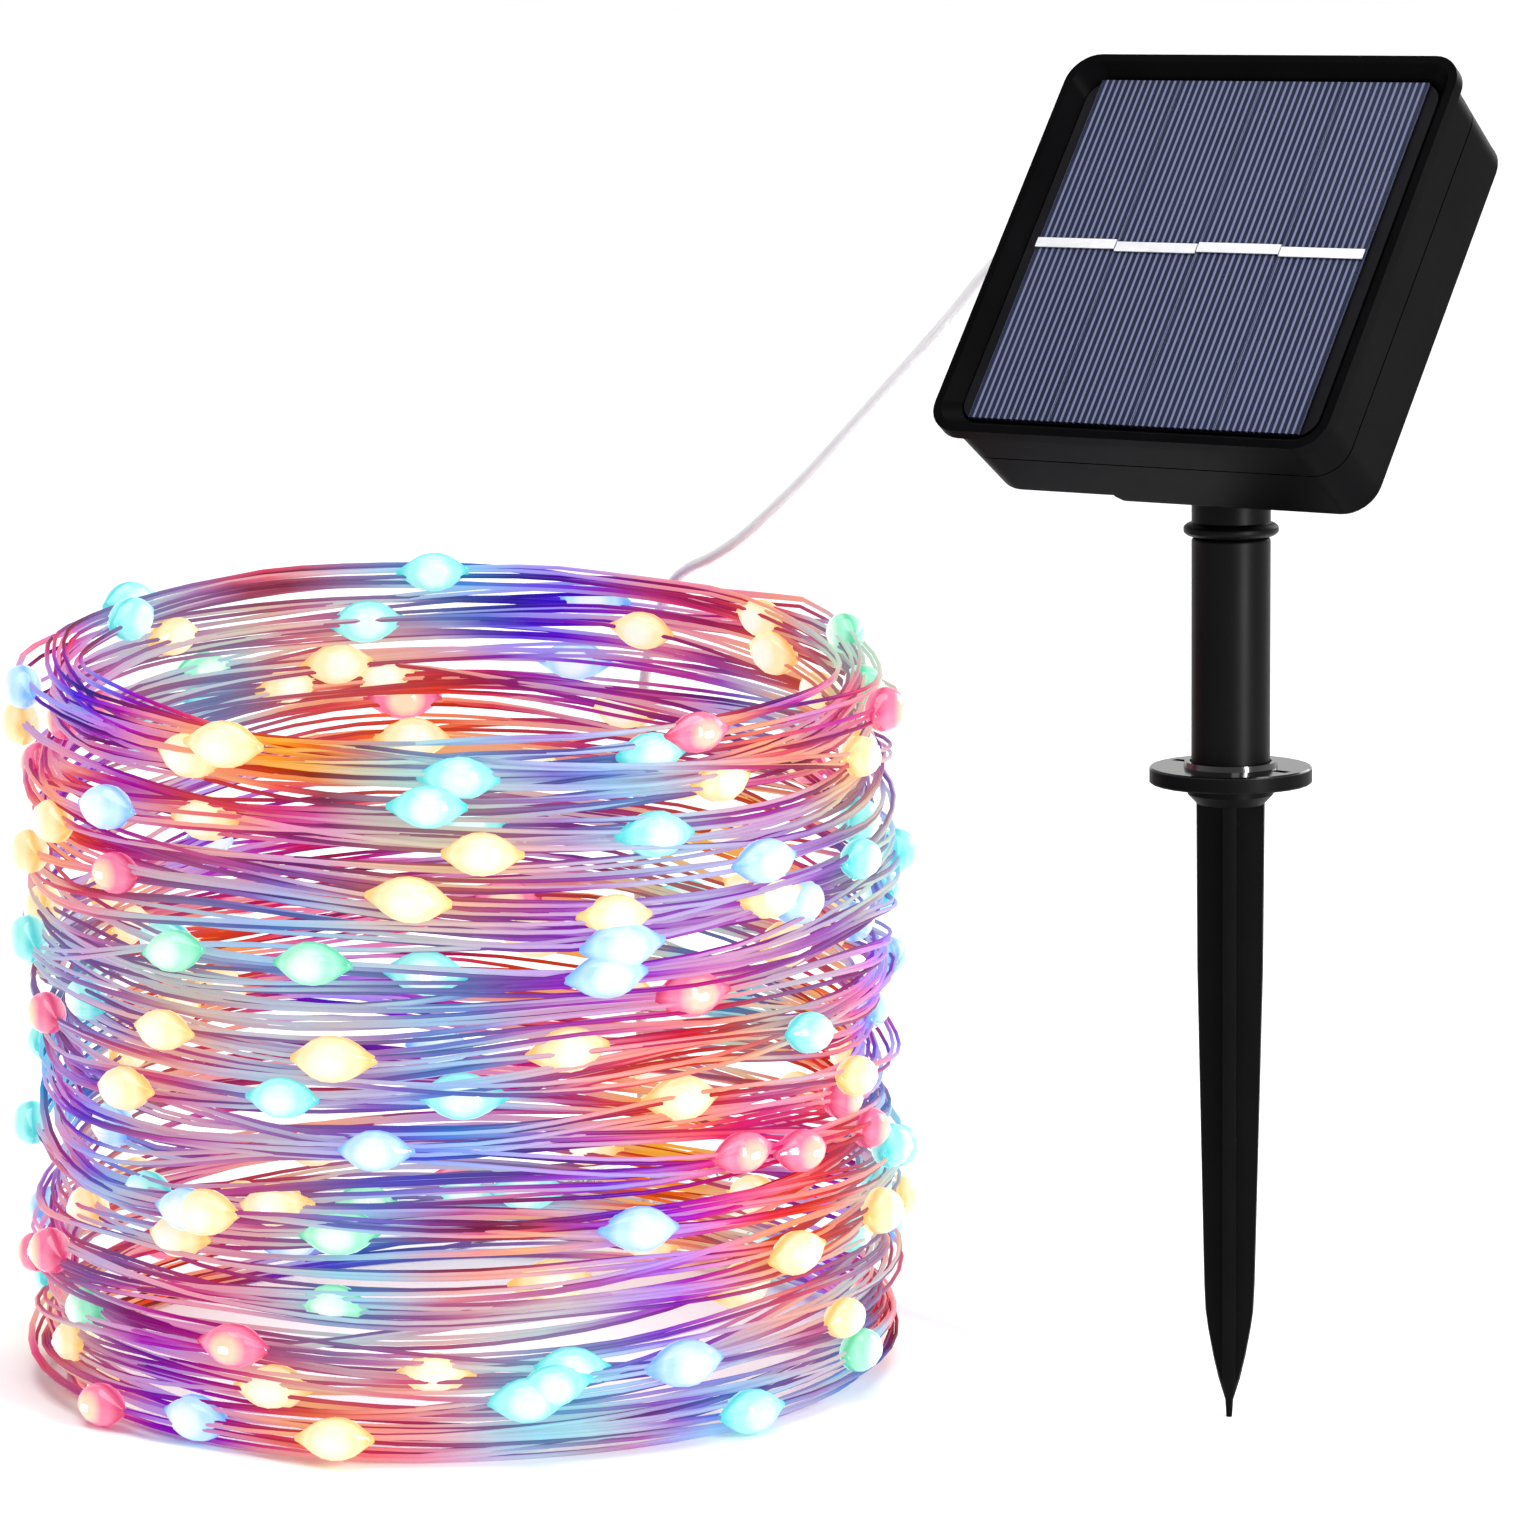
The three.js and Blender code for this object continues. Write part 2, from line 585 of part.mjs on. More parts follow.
const TUBE_FOOT = FLANGE_THICKNESS + GAP;
const poleTube = () => new THREE.LatheGeometry([
  new THREE.Vector2(TUBE_INNER, TUBE_FOOT),
  new THREE.Vector2(POLE_RADIUS, TUBE_FOOT),
  new THREE.Vector2(POLE_RADIUS, POLE_TOP - 0.4),
  new THREE.Vector2(POLE_RADIUS - 0.4, POLE_TOP),
  new THREE.Vector2(TUBE_INNER, POLE_TOP),
  new THREE.Vector2(TUBE_INNER, TUBE_FOOT),
], SEGMENTS).rotateX(Math.PI / 2);

// The blades' outer edge, from the point up to the hub, as [radius, z].
const BLADE_EDGE = [
  [0, -SPIKE_LENGTH],
  [0.55, -SPIKE_LENGTH],
  [0.75, -114.8],
  [2.05, -110.6],
  [3.05, -106.2],
  [3.95, -101.2],
  [4.4, -98],
  [4.65, -93],
  [5.2, -71],
  [6, -34],
  [6.2, -HUB_DEPTH],
  [0, -HUB_DEPTH],
];

function blades() {
  const cross = join(
    box(-7, 7, -BLADE_THICKNESS / 2, BLADE_THICKNESS / 2, -SPIKE_LENGTH - 1, 0),
    box(-BLADE_THICKNESS / 2, BLADE_THICKNESS / 2, -7, 7, -SPIKE_LENGTH - 1, 0),
  ).rotateZ(THREE.MathUtils.degToRad(SPIKE_TURN));
  return geometryOf(solid(cross).intersect(solid(turned(BLADE_EDGE, 24))));
}

function groundSpike() {
  const cupOuter = POLE_RADIUS + GAP + 0.9;
  const body = turned([
    [0, -HUB_DEPTH - 0.2],
    [6.1, -HUB_DEPTH - 0.2],
    [7.8, -2],
    [7.8, 0],
    [FLANGE_RADIUS - 0.3, 0],
    [FLANGE_RADIUS, 0.3],
    [FLANGE_RADIUS, FLANGE_THICKNESS - 0.3],
    [FLANGE_RADIUS - 0.3, FLANGE_THICKNESS],
    [cupOuter + 0.2, FLANGE_THICKNESS],
    [cupOuter, FLANGE_THICKNESS + 1],
    [POLE_RADIUS + GAP, FLANGE_THICKNESS + 1],
    [POLE_RADIUS + GAP, FLANGE_THICKNESS],
    [PLUG_RADIUS, FLANGE_THICKNESS],
    [PLUG_RADIUS, 13.5],
    [PLUG_RADIUS - 0.6, 14.2],
    [0, 14.2],
  ]);
  const slots = [0, Math.PI].map(
    (turn) => box(9.6, 12.8, -1, 1, -1, FLANGE_THICKNESS + 1).rotateZ(turn - Math.PI / 36),
  );
  return cut(join(body, blades()), ...slots);
}

part(model, 'pole_head', poleHead(), blackPlastic);
part(model, 'pole_tube', poleTube(), blackPlastic);
part(model, 'ground_spike', groundSpike(), blackPlastic);

// ---- Lead: out of the grommet, down to the coil's far rim, over it, to the spare turns on the floor ----
const LEAD_LOW = FLOOR + LEAD_RADIUS + 0.1;
const LEAD_ROUTE = [
  [-45.4, 4.6, 94.3],
  [-49, 4.9, 94.1],
  [-53.5, 6.4, 93],
  [-57.5, 8.3, 91],
  [-62, 10.1, 87.7],
  [-68, 12, 82.6],
  [-77, 14.9, 75.5],
  [-88, 18.4, 67.1],
  [-100, 22.2, 58],
  [-112, 26.1, 49],
  [-124, 29.9, 40.7],
  [-135, 33.4, 33.8],
  [-145, 36.6, 28.9],
  [-152.5, 39.4, 26.2],
  [-158.8, 41.9, 22.6],
  [-163.3, 43, 16],
  [-166, 43, 8.5],
  [-167.4, 42, -3],
  [-168, 41.2, -20],
  [-168, 41, -50],
  [-168, 41, -80],
  [-168, 41.2, -102],
  [-167.7, 42.4, -110],
  [-167, 45.4, -114.8],
  [-166.3, 49.6, LEAD_LOW],
  [-166, 54, LEAD_LOW],
];
const SLEEVE_RADIUS = 2;
const SLEEVE_AXIS = { x: -202, z: FLOOR + SLEEVE_RADIUS };
const SLEEVE_ENDS = [39.7, 24.7];
const TAIL_ROUTE = [
  [SLEEVE_AXIS.x, 54, -111],
  [SLEEVE_AXIS.x, 50, -113.6],
  [SLEEVE_AXIS.x, 45, -115.6],
  [SLEEVE_AXIS.x, 40, SLEEVE_AXIS.z],
];

part(model, 'lead_cable', tube(LEAD_ROUTE.map(vector), LEAD_RADIUS, 8, 5.5), clearCord);
part(model, 'lead_tail', tube(TAIL_ROUTE.map(vector), LEAD_RADIUS, 8, 4), clearCord);

const ring = (inner, outer, height, bevel, segments) => new THREE.LatheGeometry([
  [inner + bevel, 0],
  [outer - bevel, 0],
  [outer, bevel],
  [outer, height - bevel],
  [outer - bevel, height],
  [inner + bevel, height],
  [inner, height - bevel],
  [inner, bevel],
  [inner + bevel, 0],
].map(([r, z]) => new THREE.Vector2(r, z)), segments).rotateX(Math.PI / 2);

part(model, 'lead_coil', ring(LEAD_COIL_INNER, LEAD_COIL_OUTER, LEAD_COIL_HEIGHT, 1.5, 28), clearCord)
  .position.set(LEAD_COIL_CENTRE.x, LEAD_COIL_CENTRE.y, FLOOR);

part(model, 'junction_sleeve', turned([
  [0, 0],
  [1.6, 0],
  [SLEEVE_RADIUS, 0.6],
  [SLEEVE_RADIUS, 11],
  [1.2, 15],
  [0, 15],
], 16).rotateX(Math.PI / 2), clearCord).position.set(SLEEVE_AXIS.x, SLEEVE_ENDS[0], SLEEVE_AXIS.z);

// ---- String: its first stretch, and the coil of lights ----
part(model, 'string_start', tube([
  [SLEEVE_AXIS.x, SLEEVE_ENDS[1] - GAP, SLEEVE_AXIS.z],
  [SLEEVE_AXIS.x, 22, SLEEVE_AXIS.z],
  [SLEEVE_AXIS.x, 19.3, SLEEVE_AXIS.z],
].map(vector), STRING_RADIUS, 8, 2.5), litWire);

function stringCoil() {
  const geometry = ring(COIL_OUTER - COIL_WALL, COIL_OUTER, COIL_HEIGHT, 2.5, 48);
  const points = geometry.attributes.position;
  const angle = THREE.MathUtils.degToRad(COIL_RISES_TO);
  const climb = Math.tan(THREE.MathUtils.degToRad(COIL_SLOPE));
  for (let i = 0; i < points.count; i += 1) {
    const along = points.getX(i) * Math.cos(angle) + points.getY(i) * Math.sin(angle);
    const share = points.getZ(i) / COIL_HEIGHT; // nothing at the floor, all of it at the top
    points.setZ(i, points.getZ(i) + along * climb * share);
  }
  return geometry;
}

part(model, 'string_coil', stringCoil(), litWire).position.set(COIL_CENTRE.x, COIL_CENTRE.y, FLOOR);

export default model;
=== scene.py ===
import math
import random

import bpy
import numpy as np
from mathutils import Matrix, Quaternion, Vector


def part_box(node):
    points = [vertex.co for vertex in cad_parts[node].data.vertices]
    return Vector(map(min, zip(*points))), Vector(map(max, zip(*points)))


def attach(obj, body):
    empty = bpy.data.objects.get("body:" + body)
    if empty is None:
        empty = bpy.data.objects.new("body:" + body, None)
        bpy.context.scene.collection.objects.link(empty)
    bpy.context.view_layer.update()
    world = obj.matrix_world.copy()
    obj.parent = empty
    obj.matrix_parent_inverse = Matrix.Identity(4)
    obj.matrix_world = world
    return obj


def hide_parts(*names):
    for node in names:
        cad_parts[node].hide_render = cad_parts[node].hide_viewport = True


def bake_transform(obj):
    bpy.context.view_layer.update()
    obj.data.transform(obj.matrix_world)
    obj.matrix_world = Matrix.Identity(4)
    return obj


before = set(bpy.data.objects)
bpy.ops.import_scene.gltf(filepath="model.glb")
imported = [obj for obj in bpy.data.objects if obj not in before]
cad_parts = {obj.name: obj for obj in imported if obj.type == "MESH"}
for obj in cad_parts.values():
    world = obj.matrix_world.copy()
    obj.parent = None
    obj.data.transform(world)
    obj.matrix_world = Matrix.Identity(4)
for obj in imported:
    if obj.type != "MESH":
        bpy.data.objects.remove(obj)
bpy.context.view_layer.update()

SCENE = bpy.context.scene
MM = 0.001


# ------------------------------------------------ helpers
def mesh_object(name, vertices, faces, smooth=True):
    mesh = bpy.data.meshes.new(name)
    mesh.from_pydata([tuple(v) for v in vertices], [], [tuple(f) for f in faces])
    mesh.validate()
    if smooth:
        mesh.polygons.foreach_set("use_smooth", [True] * len(mesh.polygons))
    obj = bpy.data.objects.new(name, mesh)
    SCENE.collection.objects.link(obj)
    return obj


def unit(v):
    return v / np.maximum(np.linalg.norm(v, axis=-1, keepdims=True), 1e-12)


def band_faces(rows, sides):
    """Quads that join rows of vertices, each row a closed ring, and a face over each end."""
    faces = [
        (i * sides + k, i * sides + (k + 1) % sides, (i + 1) * sides + (k + 1) % sides, (i + 1) * sides + k)
        for i in range(rows - 1) for k in range(sides)
    ]
    faces.append(tuple(reversed(range(sides))))
    faces.append(tuple(range((rows - 1) * sides, rows * sides)))
    return faces


def carried_frames(points):
    """Tangents and two cross directions along a line, turned as little as possible from point to point."""
    tangents = unit(np.gradient(points, axis=0))
    side = unit(np.cross(tangents[0], (0.3, 0.2, 1.0)))
    sides = [side]
    for t in tangents[1:]:
        side = side - t * float(side @ t)
        side = side / np.linalg.norm(side)
        sides.append(side)
    sides = np.array(sides)
    return tangents, sides, np.cross(tangents, sides)


def tube(points, radii, sides):
    """Vertices and faces of a round tube. A point a little beyond each end closes it."""
    points = np.asarray(points, float)
    radii = np.broadcast_to(np.asarray(radii, float), len(points))
    tangents, u, v = carried_frames(points)
    angles = np.arange(sides) * 2 * math.pi / sides
    ring = np.cos(angles)[None, :, None] * u[:, None, :] + np.sin(angles)[None, :, None] * v[:, None, :]
    vertices = (points[:, None, :] + ring * radii[:, None, None]).reshape(-1, 3)
    count = len(points)
    k = np.arange(sides)
    after = (k + 1) % sides
    rows = np.arange(count - 1)[:, None] * sides
    quads = [rows + k, rows + after, rows + sides + after, rows + sides + k]
    faces = np.stack(quads, -1).reshape(-1, 4).tolist()
    start, end = len(vertices), len(vertices) + 1
    caps = [points[0] - tangents[0] * radii[0] * 0.3, points[-1] + tangents[-1] * radii[-1] * 0.3]
    vertices = np.vstack([vertices, caps])
    last = (count - 1) * sides
    for i in range(sides):
        j = (i + 1) % sides
        faces.append((start, j, i))
        faces.append((end, last + i, last + j))
    return vertices, faces


def smooth_line(points, spacing):
    """A Catmull-Rom line through the points, cut into even steps."""
    p = [Vector(q) for q in points]
    p = [p[0] * 2 - p[1]] + p + [p[-1] * 2 - p[-2]]
    cuts = 24
    line = []
    for i in range(1, len(p) - 2):
        a, b, c, d = p[i - 1], p[i], p[i + 1], p[i + 2]
        for k in range(cuts):
            t = k / cuts
            line.append(
                0.5 * (2 * b + (c - a) * t + (2 * a - 5 * b + 4 * c - d) * t * t
                       + (3 * b - a - 3 * c + d) * t * t * t)
            )
    line.append(p[-2])
    return even_steps(np.array([tuple(q) for q in line]), spacing)


def even_steps(line, spacing):
    """The same line with its points an even distance apart."""
    gaps = np.linalg.norm(np.diff(line, axis=0), axis=1)
    along = np.concatenate([[0], np.cumsum(gaps)])
    count = max(2, int(round(along[-1] / spacing)) + 1)
    at = np.linspace(0, along[-1], count)
    return np.stack([np.interp(at, along, line[:, i]) for i in range(3)], -1)


def length_of(line):
    return float(np.linalg.norm(np.diff(line, axis=0), axis=1).sum())


def wander(seed, waves):
    """A smooth repeatable function of one number, from (waves per unit, size) pairs."""
    rng = random.Random(seed)
    parts = [(2 * math.pi * rate, size, rng.uniform(0, 2 * math.pi)) for rate, size in waves]
    return lambda t: sum(size * np.sin(rate * t + phase) for rate, size, phase in parts)


# ------------------------------------------------ camera
AZIMUTH, ELEVATION, DISTANCE = math.radians(36.7), math.radians(8.5), 1.0
AIM_ACROSS, AIM_HEIGHT = -0.0847, 0.0046
across = Vector((math.cos(AZIMUTH), math.sin(AZIMUTH), 0))
aim = across * AIM_ACROSS + Vector((0, 0, AIM_HEIGHT))
back = Vector((
    math.sin(AZIMUTH) * math.cos(ELEVATION),
    -math.cos(AZIMUTH) * math.cos(ELEVATION),
    math.sin(ELEVATION),
))
camera = bpy.data.objects.new("camera", bpy.data.cameras.new("camera"))
camera.data.lens = 130.7
camera.data.sensor_width = 36
camera.data.clip_end = 20
camera.location = aim + back * DISTANCE
ROLL = Quaternion((0, 0, 1), math.radians(-0.6))
camera.rotation_euler = ((-back).to_track_quat("-Z", "Y") @ ROLL).to_euler()
SCENE.collection.objects.link(camera)
SCENE.camera = camera

# ------------------------------------------------ places taken from the CAD
ring_low, ring_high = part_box("string_coil")
FLOOR = ring_low.z
COIL_X, COIL_Y = (ring_low.x + ring_high.x) / 2, (ring_low.y + ring_high.y) / 2
COIL_OUTER = (ring_high.x - ring_low.x) / 2
spare_low, spare_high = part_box("lead_coil")
SPARE_X, SPARE_Y = (spare_low.x + spare_high.x) / 2, (spare_low.y + spare_high.y) / 2

# ------------------------------------------------ lead, nearly 2 m of 2.4 mm clear cord
LEAD_DIAMETER = 2.4 * MM
LEAD_LOW = FLOOR + 1.3 * MM
# Out of the housing, across to the coil's far rim and down behind it, in millimetres.
LEAD_ROUTE = [
    (-45.4, 4.6, 94.3), (-49, 4.9, 94.1), (-53.5, 6.4, 93), (-57.5, 8.3, 91), (-62, 10.1, 87.7),
    (-68, 12, 82.6), (-77, 14.9, 75.5), (-88, 18.4, 67.1), (-100, 22.2, 58), (-112, 26.1, 49),
    (-124, 29.9, 40.7), (-135, 33.4, 33.8), (-145, 36.6, 28.9), (-152.5, 39.4, 26.2), (-158.8, 41.9, 22.6),
    (-163.3, 43, 16), (-166, 43, 8.5), (-167.4, 42, -3), (-168, 41.2, -20), (-168, 41, -50),
    (-168, 41, -80), (-168, 41.2, -102), (-167.7, 42.4, -110), (-167, 45.4, -114.8),
    (-166.3, 49.6, -116.7), (-166, 54, -116.7),
]
# From the spare turns to the sleeve that joins the lead to the string.
LEAD_TAIL = [(-202, 54, -111), (-202, 50, -113.6), (-202, 45, -115.6), (-202, 40, -116)]
SPARE_PITCH = 2.45 * MM
SPARE_ROWS, SPARE_COLUMNS = 4, 5
SPARE_INNER = 8.3 * MM
SPARE_TURNS = 19.5
LEAD_STEP = 2.6 * MM


def spare_turns():
    """The spare lead wound up from the outside in and back, layer on layer, a diameter apart."""
    places = []
    for row in range(SPARE_ROWS):
        order = range(SPARE_COLUMNS)
        order = reversed(order) if row % 2 == 0 else order
        places += [(SPARE_INNER + k * SPARE_PITCH, LEAD_LOW + row * SPARE_PITCH) for k in order]
    steps = 24
    keeps_place = 0.6
    line = []
    for i in range(1, int(SPARE_TURNS * steps) + 1):
        turn = i / steps
        k = min(int(turn), len(places) - 1)
        following = places[min(k + 1, len(places) - 1)]
        share = max(0.0, (turn - k - keeps_place) / (1 - keeps_place))
        share = share * share * (3 - 2 * share)
        radius = places[k][0] * (1 - share) + following[0] * share
        height = places[k][1] * (1 - share) + following[1] * share
        angle = 2 * math.pi * turn
        line.append((SPARE_X + radius * math.cos(angle), SPARE_Y + radius * math.sin(angle), height))
    return line


def in_metres(points):
    return [tuple(c * MM for c in p) for p in points]


lead_line = smooth_line(in_metres(LEAD_ROUTE) + spare_turns() + in_metres(LEAD_TAIL), LEAD_STEP)
lead = mesh_object("clear_lead", *tube(lead_line, LEAD_DIAMETER / 2, 10))

# ------------------------------------------------ string, 50 m of three thin wires with drops
WIRE_RADIUS = 0.4 * MM
STRING_STEP = 8.6 * MM
DROP_SPACING = 270 * MM
# The share of drops led to the outside of the wall, how far out they lie, and how far in the others go.
OUTER_DROPS, OUTER_DEPTH, INWARD_SHIFT = 0.52, 4.6 * MM, 1.0 * MM
PUSHED_STEPS = 7
# The length of wire before the first drop and after the last one, in metres.
BEFORE_DROPS, AFTER_DROPS = 0.12, 0.05
MEAN_RADIUS = COIL_OUTER - 5.2 * MM
TURNS = 99.96
START_ANGLE = math.radians(143)
STEPS_PER_TURN = 60
TOP_TILT = math.tan(math.radians(6.1))
TOP_TOWARDS = math.radians(142.5)
WALL_HEIGHT = 138.5 * MM
# Turns where the wire was led across the others: the turn and how far it strays, in millimetres.
STRAYS = [
    (4.3, 16), (9.1, -15), (14.6, 20), (19.2, -18), (24.4, 14), (29.1, -23), (34.3, 16), (39.2, 24),
    (44.5, -17), (49.3, 22), (54.7, -24), (59.9, 17), (64.4, -21), (69.2, 20), (74.1, -23), (79.7, 18),
    (84.5, -19), (89.6, 15), (94.2, -14),
]
STRAY_TURNS = 0.36
# From the sleeve towards the wall, a little above the floor, in millimetres.
STRING_EXIT = [(-202, 24.4), (-202.1, 21.5), (-203, 16.5), (-205.5, 11.0)]
EXIT_HEIGHT = FLOOR + 2.0 * MM

height_noise = wander(11, [(0.45, 2.2), (1.1, 1.6), (2.3, 1.1), (4.3, 0.75)])
radius_noise = wander(12, [(0.31, 1.9), (0.83, 1.5), (1.9, 1.0)])


def bulge(share):
    """How far the wall stands in or out at a share of its height, in millimetres."""
    return np.interp(share, [0, 0.15, 0.32, 0.5, 0.68, 0.84, 1], [0.4, 0.6, -0.6, -1.0, 1.4, 0.0, -4.5])


def flow(angle, share):
    """How far neighbouring turns rise and fall together, in millimetres, which gathers or parts them."""
    return np.sin(math.pi * share) * (
        2.4 * np.sin(2 * angle + 4.0 * share + 0.6) + 1.7 * np.sin(3 * angle - 11.0 * share + 2.1)
        + 0.9 * np.sin(5 * angle + 19.0 * share) + 0.3 * np.sin(9 * angle - 31.0 * share + 1.0)
    )


def folded(share):
    """The share of the height, with what would pass 0 or 1 turned back."""
    share = np.abs(share)
    return 1 - np.abs(1 - share)


def string_centreline():
    """The middle of the string, wound from the floor up, after a short straight stretch from the sleeve."""
    turns = np.arange(0, TURNS, 1 / STEPS_PER_TURN)
    angle = START_ANGLE + 2 * math.pi * turns
    # The very end is tucked in below the rim.
    tucked = np.clip((turns - TURNS + 0.6) / 0.6, 0, 1) ** 2
    # The turns lie a little closer at the foot and at the rim.
    share = turns / TURNS
    share = 0.72 * share + 0.28 * (0.5 - 0.5 * np.cos(math.pi * share))
    strays = sum(size * np.exp(-((turns - turn) / STRAY_TURNS) ** 2) for turn, size in STRAYS)
    moved = flow(angle, share) + height_noise(turns) + strays
    share = folded(share + moved * MM / WALL_HEIGHT * np.minimum(1, turns / 1.5)) - 0.3 * tucked
    radius = MEAN_RADIUS + (bulge(share) + radius_noise(turns) + 5 * tucked + 0.12 * np.abs(strays)) * MM
    x = radius * np.cos(angle)
    y = radius * np.sin(angle)
    top = WALL_HEIGHT + TOP_TILT * (x * math.cos(TOP_TOWARDS) + y * math.sin(TOP_TOWARDS))
    z = FLOOR + 1.4 * MM + share * (top - 2.6 * MM)
    wound = np.stack([COIL_X + x, COIL_Y + y, z], -1)
    first = [(along * MM, off * MM, EXIT_HEIGHT) for along, off in STRING_EXIT]
    return even_steps(np.vstack([first, wound[3:]]), STRING_STEP)


def pushed_out(line):
    """The line with half of the drops' places led to the outside of the wall, and the drops' indices."""
    rng = random.Random(5)
    step = length_of(line) / (len(line) - 1)
    every = int(round(DROP_SPACING / step))
    places = list(range(int(BEFORE_DROPS / step), len(line) - int(AFTER_DROPS / step), every))
    outward = line - np.array([COIL_X, COIL_Y, 0])
    outward[:, 2] = 0
    outward = unit(outward)
    moved = line.copy()
    for i in places:
        depth = math.hypot(line[i][0] - COIL_X, line[i][1] - COIL_Y) - MEAN_RADIUS
        push = OUTER_DEPTH - depth if rng.random() < OUTER_DROPS else -INWARD_SHIFT
        for k in range(1 - PUSHED_STEPS, PUSHED_STEPS):
            if 0 <= i + k < len(line):
                moved[i + k] += outward[i + k] * push * math.cos(k / PUSHED_STEPS * math.pi / 2) ** 2
    return moved, places


string_line, drop_places = pushed_out(string_centreline())


def strand(number):
    """One of the three wires: it leaves the centreline between drops and comes back to it at each drop."""
    count = len(string_line)
    t = np.arange(count)
    tangents = unit(np.gradient(string_line, axis=0))
    up = unit(np.array([0, 0, 1.0]) - tangents * tangents[:, 2:3])
    side = np.cross(tangents, up)
    step = length_of(string_line) / (count - 1)
    every = DROP_SPACING / step
    phase = (t - drop_places[0]) / every
    apart = np.abs(np.sin(math.pi * phase)) ** 0.7
    spread = 0.42 + apart * (1.12 + 0.5 * wander(40 + number, [(0.013, 0.7), (0.031, 0.5)])(t))
    angle = 2 * math.pi * number / 3 + wander(50 + number, [(0.009, 1.6), (0.023, 0.9)])(t)
    offset = (np.sin(angle)[:, None] * up + 0.6 * np.cos(angle)[:, None] * side) * (spread * MM)[:, None]
    line = string_line + offset
    line[:, 2] = np.maximum(line[:, 2], FLOOR + WIRE_RADIUS)
    return line


WIRE_SIDES = 5
strands = [strand(k) for k in range(3)]
# Which ring of its wire and which of the wires each vertex belongs to.
ring_of, strand_of = [], []
vertices, faces = [], []
for number, line in enumerate(strands):
    v, f = tube(line, WIRE_RADIUS, WIRE_SIDES)
    start = sum(len(x) for x in vertices)
    vertices.append(v)
    faces += [tuple(i + start for i in face) for face in f]
    rings = np.repeat(np.arange(len(line)), WIRE_SIDES)
    ring_of.append(np.concatenate([rings, [0, len(line) - 1]]))
    strand_of.append(np.full(len(v), number))
wire = mesh_object("light_string", np.vstack(vertices), faces)
ring_of, strand_of = np.concatenate(ring_of), np.concatenate(strand_of)

# ------------------------------------------------ drops
def linear(*shown):
    """A colour as a screen shows it, turned into light."""
    return tuple(c / 12.92 if c <= 0.04045 else ((c + 0.055) / 1.055) ** 2.4 for c in shown)


# Each kind of drop: its edge, its body and its middle.
TINTS = {
    "warm": (linear(0.98, 0.76, 0.42), linear(1.0, 0.93, 0.74), linear(1.0, 0.99, 0.95)),
    "cyan": (linear(0.30, 0.82, 0.84), linear(0.66, 0.96, 0.94), linear(0.97, 1.0, 1.0)),
    "ice": (linear(0.45, 0.68, 0.98), linear(0.76, 0.90, 1.0), linear(0.98, 0.99, 1.0)),
    "red": (linear(0.84, 0.22, 0.42), linear(0.96, 0.52, 0.66), linear(1.0, 0.92, 0.76)),
    "green": (linear(0.34, 0.80, 0.62), linear(0.66, 0.95, 0.82), linear(0.97, 1.0, 0.98)),
}
# The kinds of every fourteen drops, shuffled each time.
BATCH = (
    "warm", "cyan", "warm", "red", "ice", "warm", "green",
    "cyan", "warm", "ice", "warm", "red", "cyan", "warm",
)
rng = random.Random(21)
drop_kinds = []
while len(drop_kinds) < len(drop_places):
    batch = list(BATCH)
    rng.shuffle(batch)
    drop_kinds += batch
drop_kinds = drop_kinds[:len(drop_places)]
# Places along a drop and its radius there, in millimetres.
DROP_PROFILE = [
    (-6.2, 0.45), (-5.6, 0.75), (-4.7, 1.3), (-3.5, 2.15), (-2.0, 2.9), (-0.4, 3.2), (1.2, 3.1), (2.7, 2.55),
    (4.0, 1.65), (5.0, 0.9), (5.7, 0.5),
]
DROP_RADIUS = 3.2
DROP_SIDES = 16


def drop_arrays(centre, along, outward, size):
    """A lemon-shaped drop of resin round the wires, and how near its middle each vertex is."""
    up = np.cross(outward, along)
    vertices, core = [], []
    for x, r in DROP_PROFILE:
        for k in range(DROP_SIDES):
            a = 2 * math.pi * k / DROP_SIDES
            flat = 0.86 if math.cos(a) < 0 else 1.0
            p = along * x + outward * (r * math.cos(a) * flat) + up * (r * math.sin(a))
            vertices.append(centre + p * size * MM)
            core.append(max(0.0, 1 - (x / 5.4) ** 2) * abs(math.cos(a)) ** 0.8)
    return vertices, band_faces(len(DROP_PROFILE), DROP_SIDES), core


def chip_arrays(centre, along, outward, size):
    """The light chip that just breaks the drop's outer face: a small block with chamfered corners."""
    up = np.cross(outward, along)
    outline = [
        (-0.8, -0.3), (-0.6, -0.5), (0.6, -0.5), (0.8, -0.3),
        (0.8, 0.3), (0.6, 0.5), (-0.6, 0.5), (-0.8, 0.3),
    ]
    levels = ((2.4, 1.0), (3.22, 1.0), (3.34, 0.82))
    vertices = []
    for depth, shrink in levels:
        vertices += [
            centre + (along * x * shrink + up * y * shrink + outward * depth) * size * MM for x, y in outline
        ]
    return vertices, band_faces(len(levels), len(outline))


tangents = unit(np.gradient(string_line, axis=0))
drop_centres, built = [], {kind: ([], [], []) for kind in TINTS}
chip_vertices, chip_faces = [], []
for place, kind in zip(drop_places, drop_kinds):
    along = tangents[place]
    outward = string_line[place] - np.array([COIL_X, COIL_Y, string_line[place][2]])
    outward = unit(outward - along * float(outward @ along))
    along = along * rng.choice((-1, 1))
    size = rng.uniform(1.16, 1.36)
    centre = string_line[place].copy()
    centre[2] = max(centre[2], FLOOR + (DROP_RADIUS * size + 0.1) * MM)
    drop_centres.append(centre)
    v, f, core = drop_arrays(centre, along, outward, size)
    vs, fs, cs = built[kind]
    fs += [tuple(i + len(vs) for i in face) for face in f]
    vs += v
    cs += core
    v, f = chip_arrays(centre, along, outward, size)
    chip_faces += [tuple(i + len(chip_vertices) for i in face) for face in f]
    chip_vertices += v
drop_objects = {}
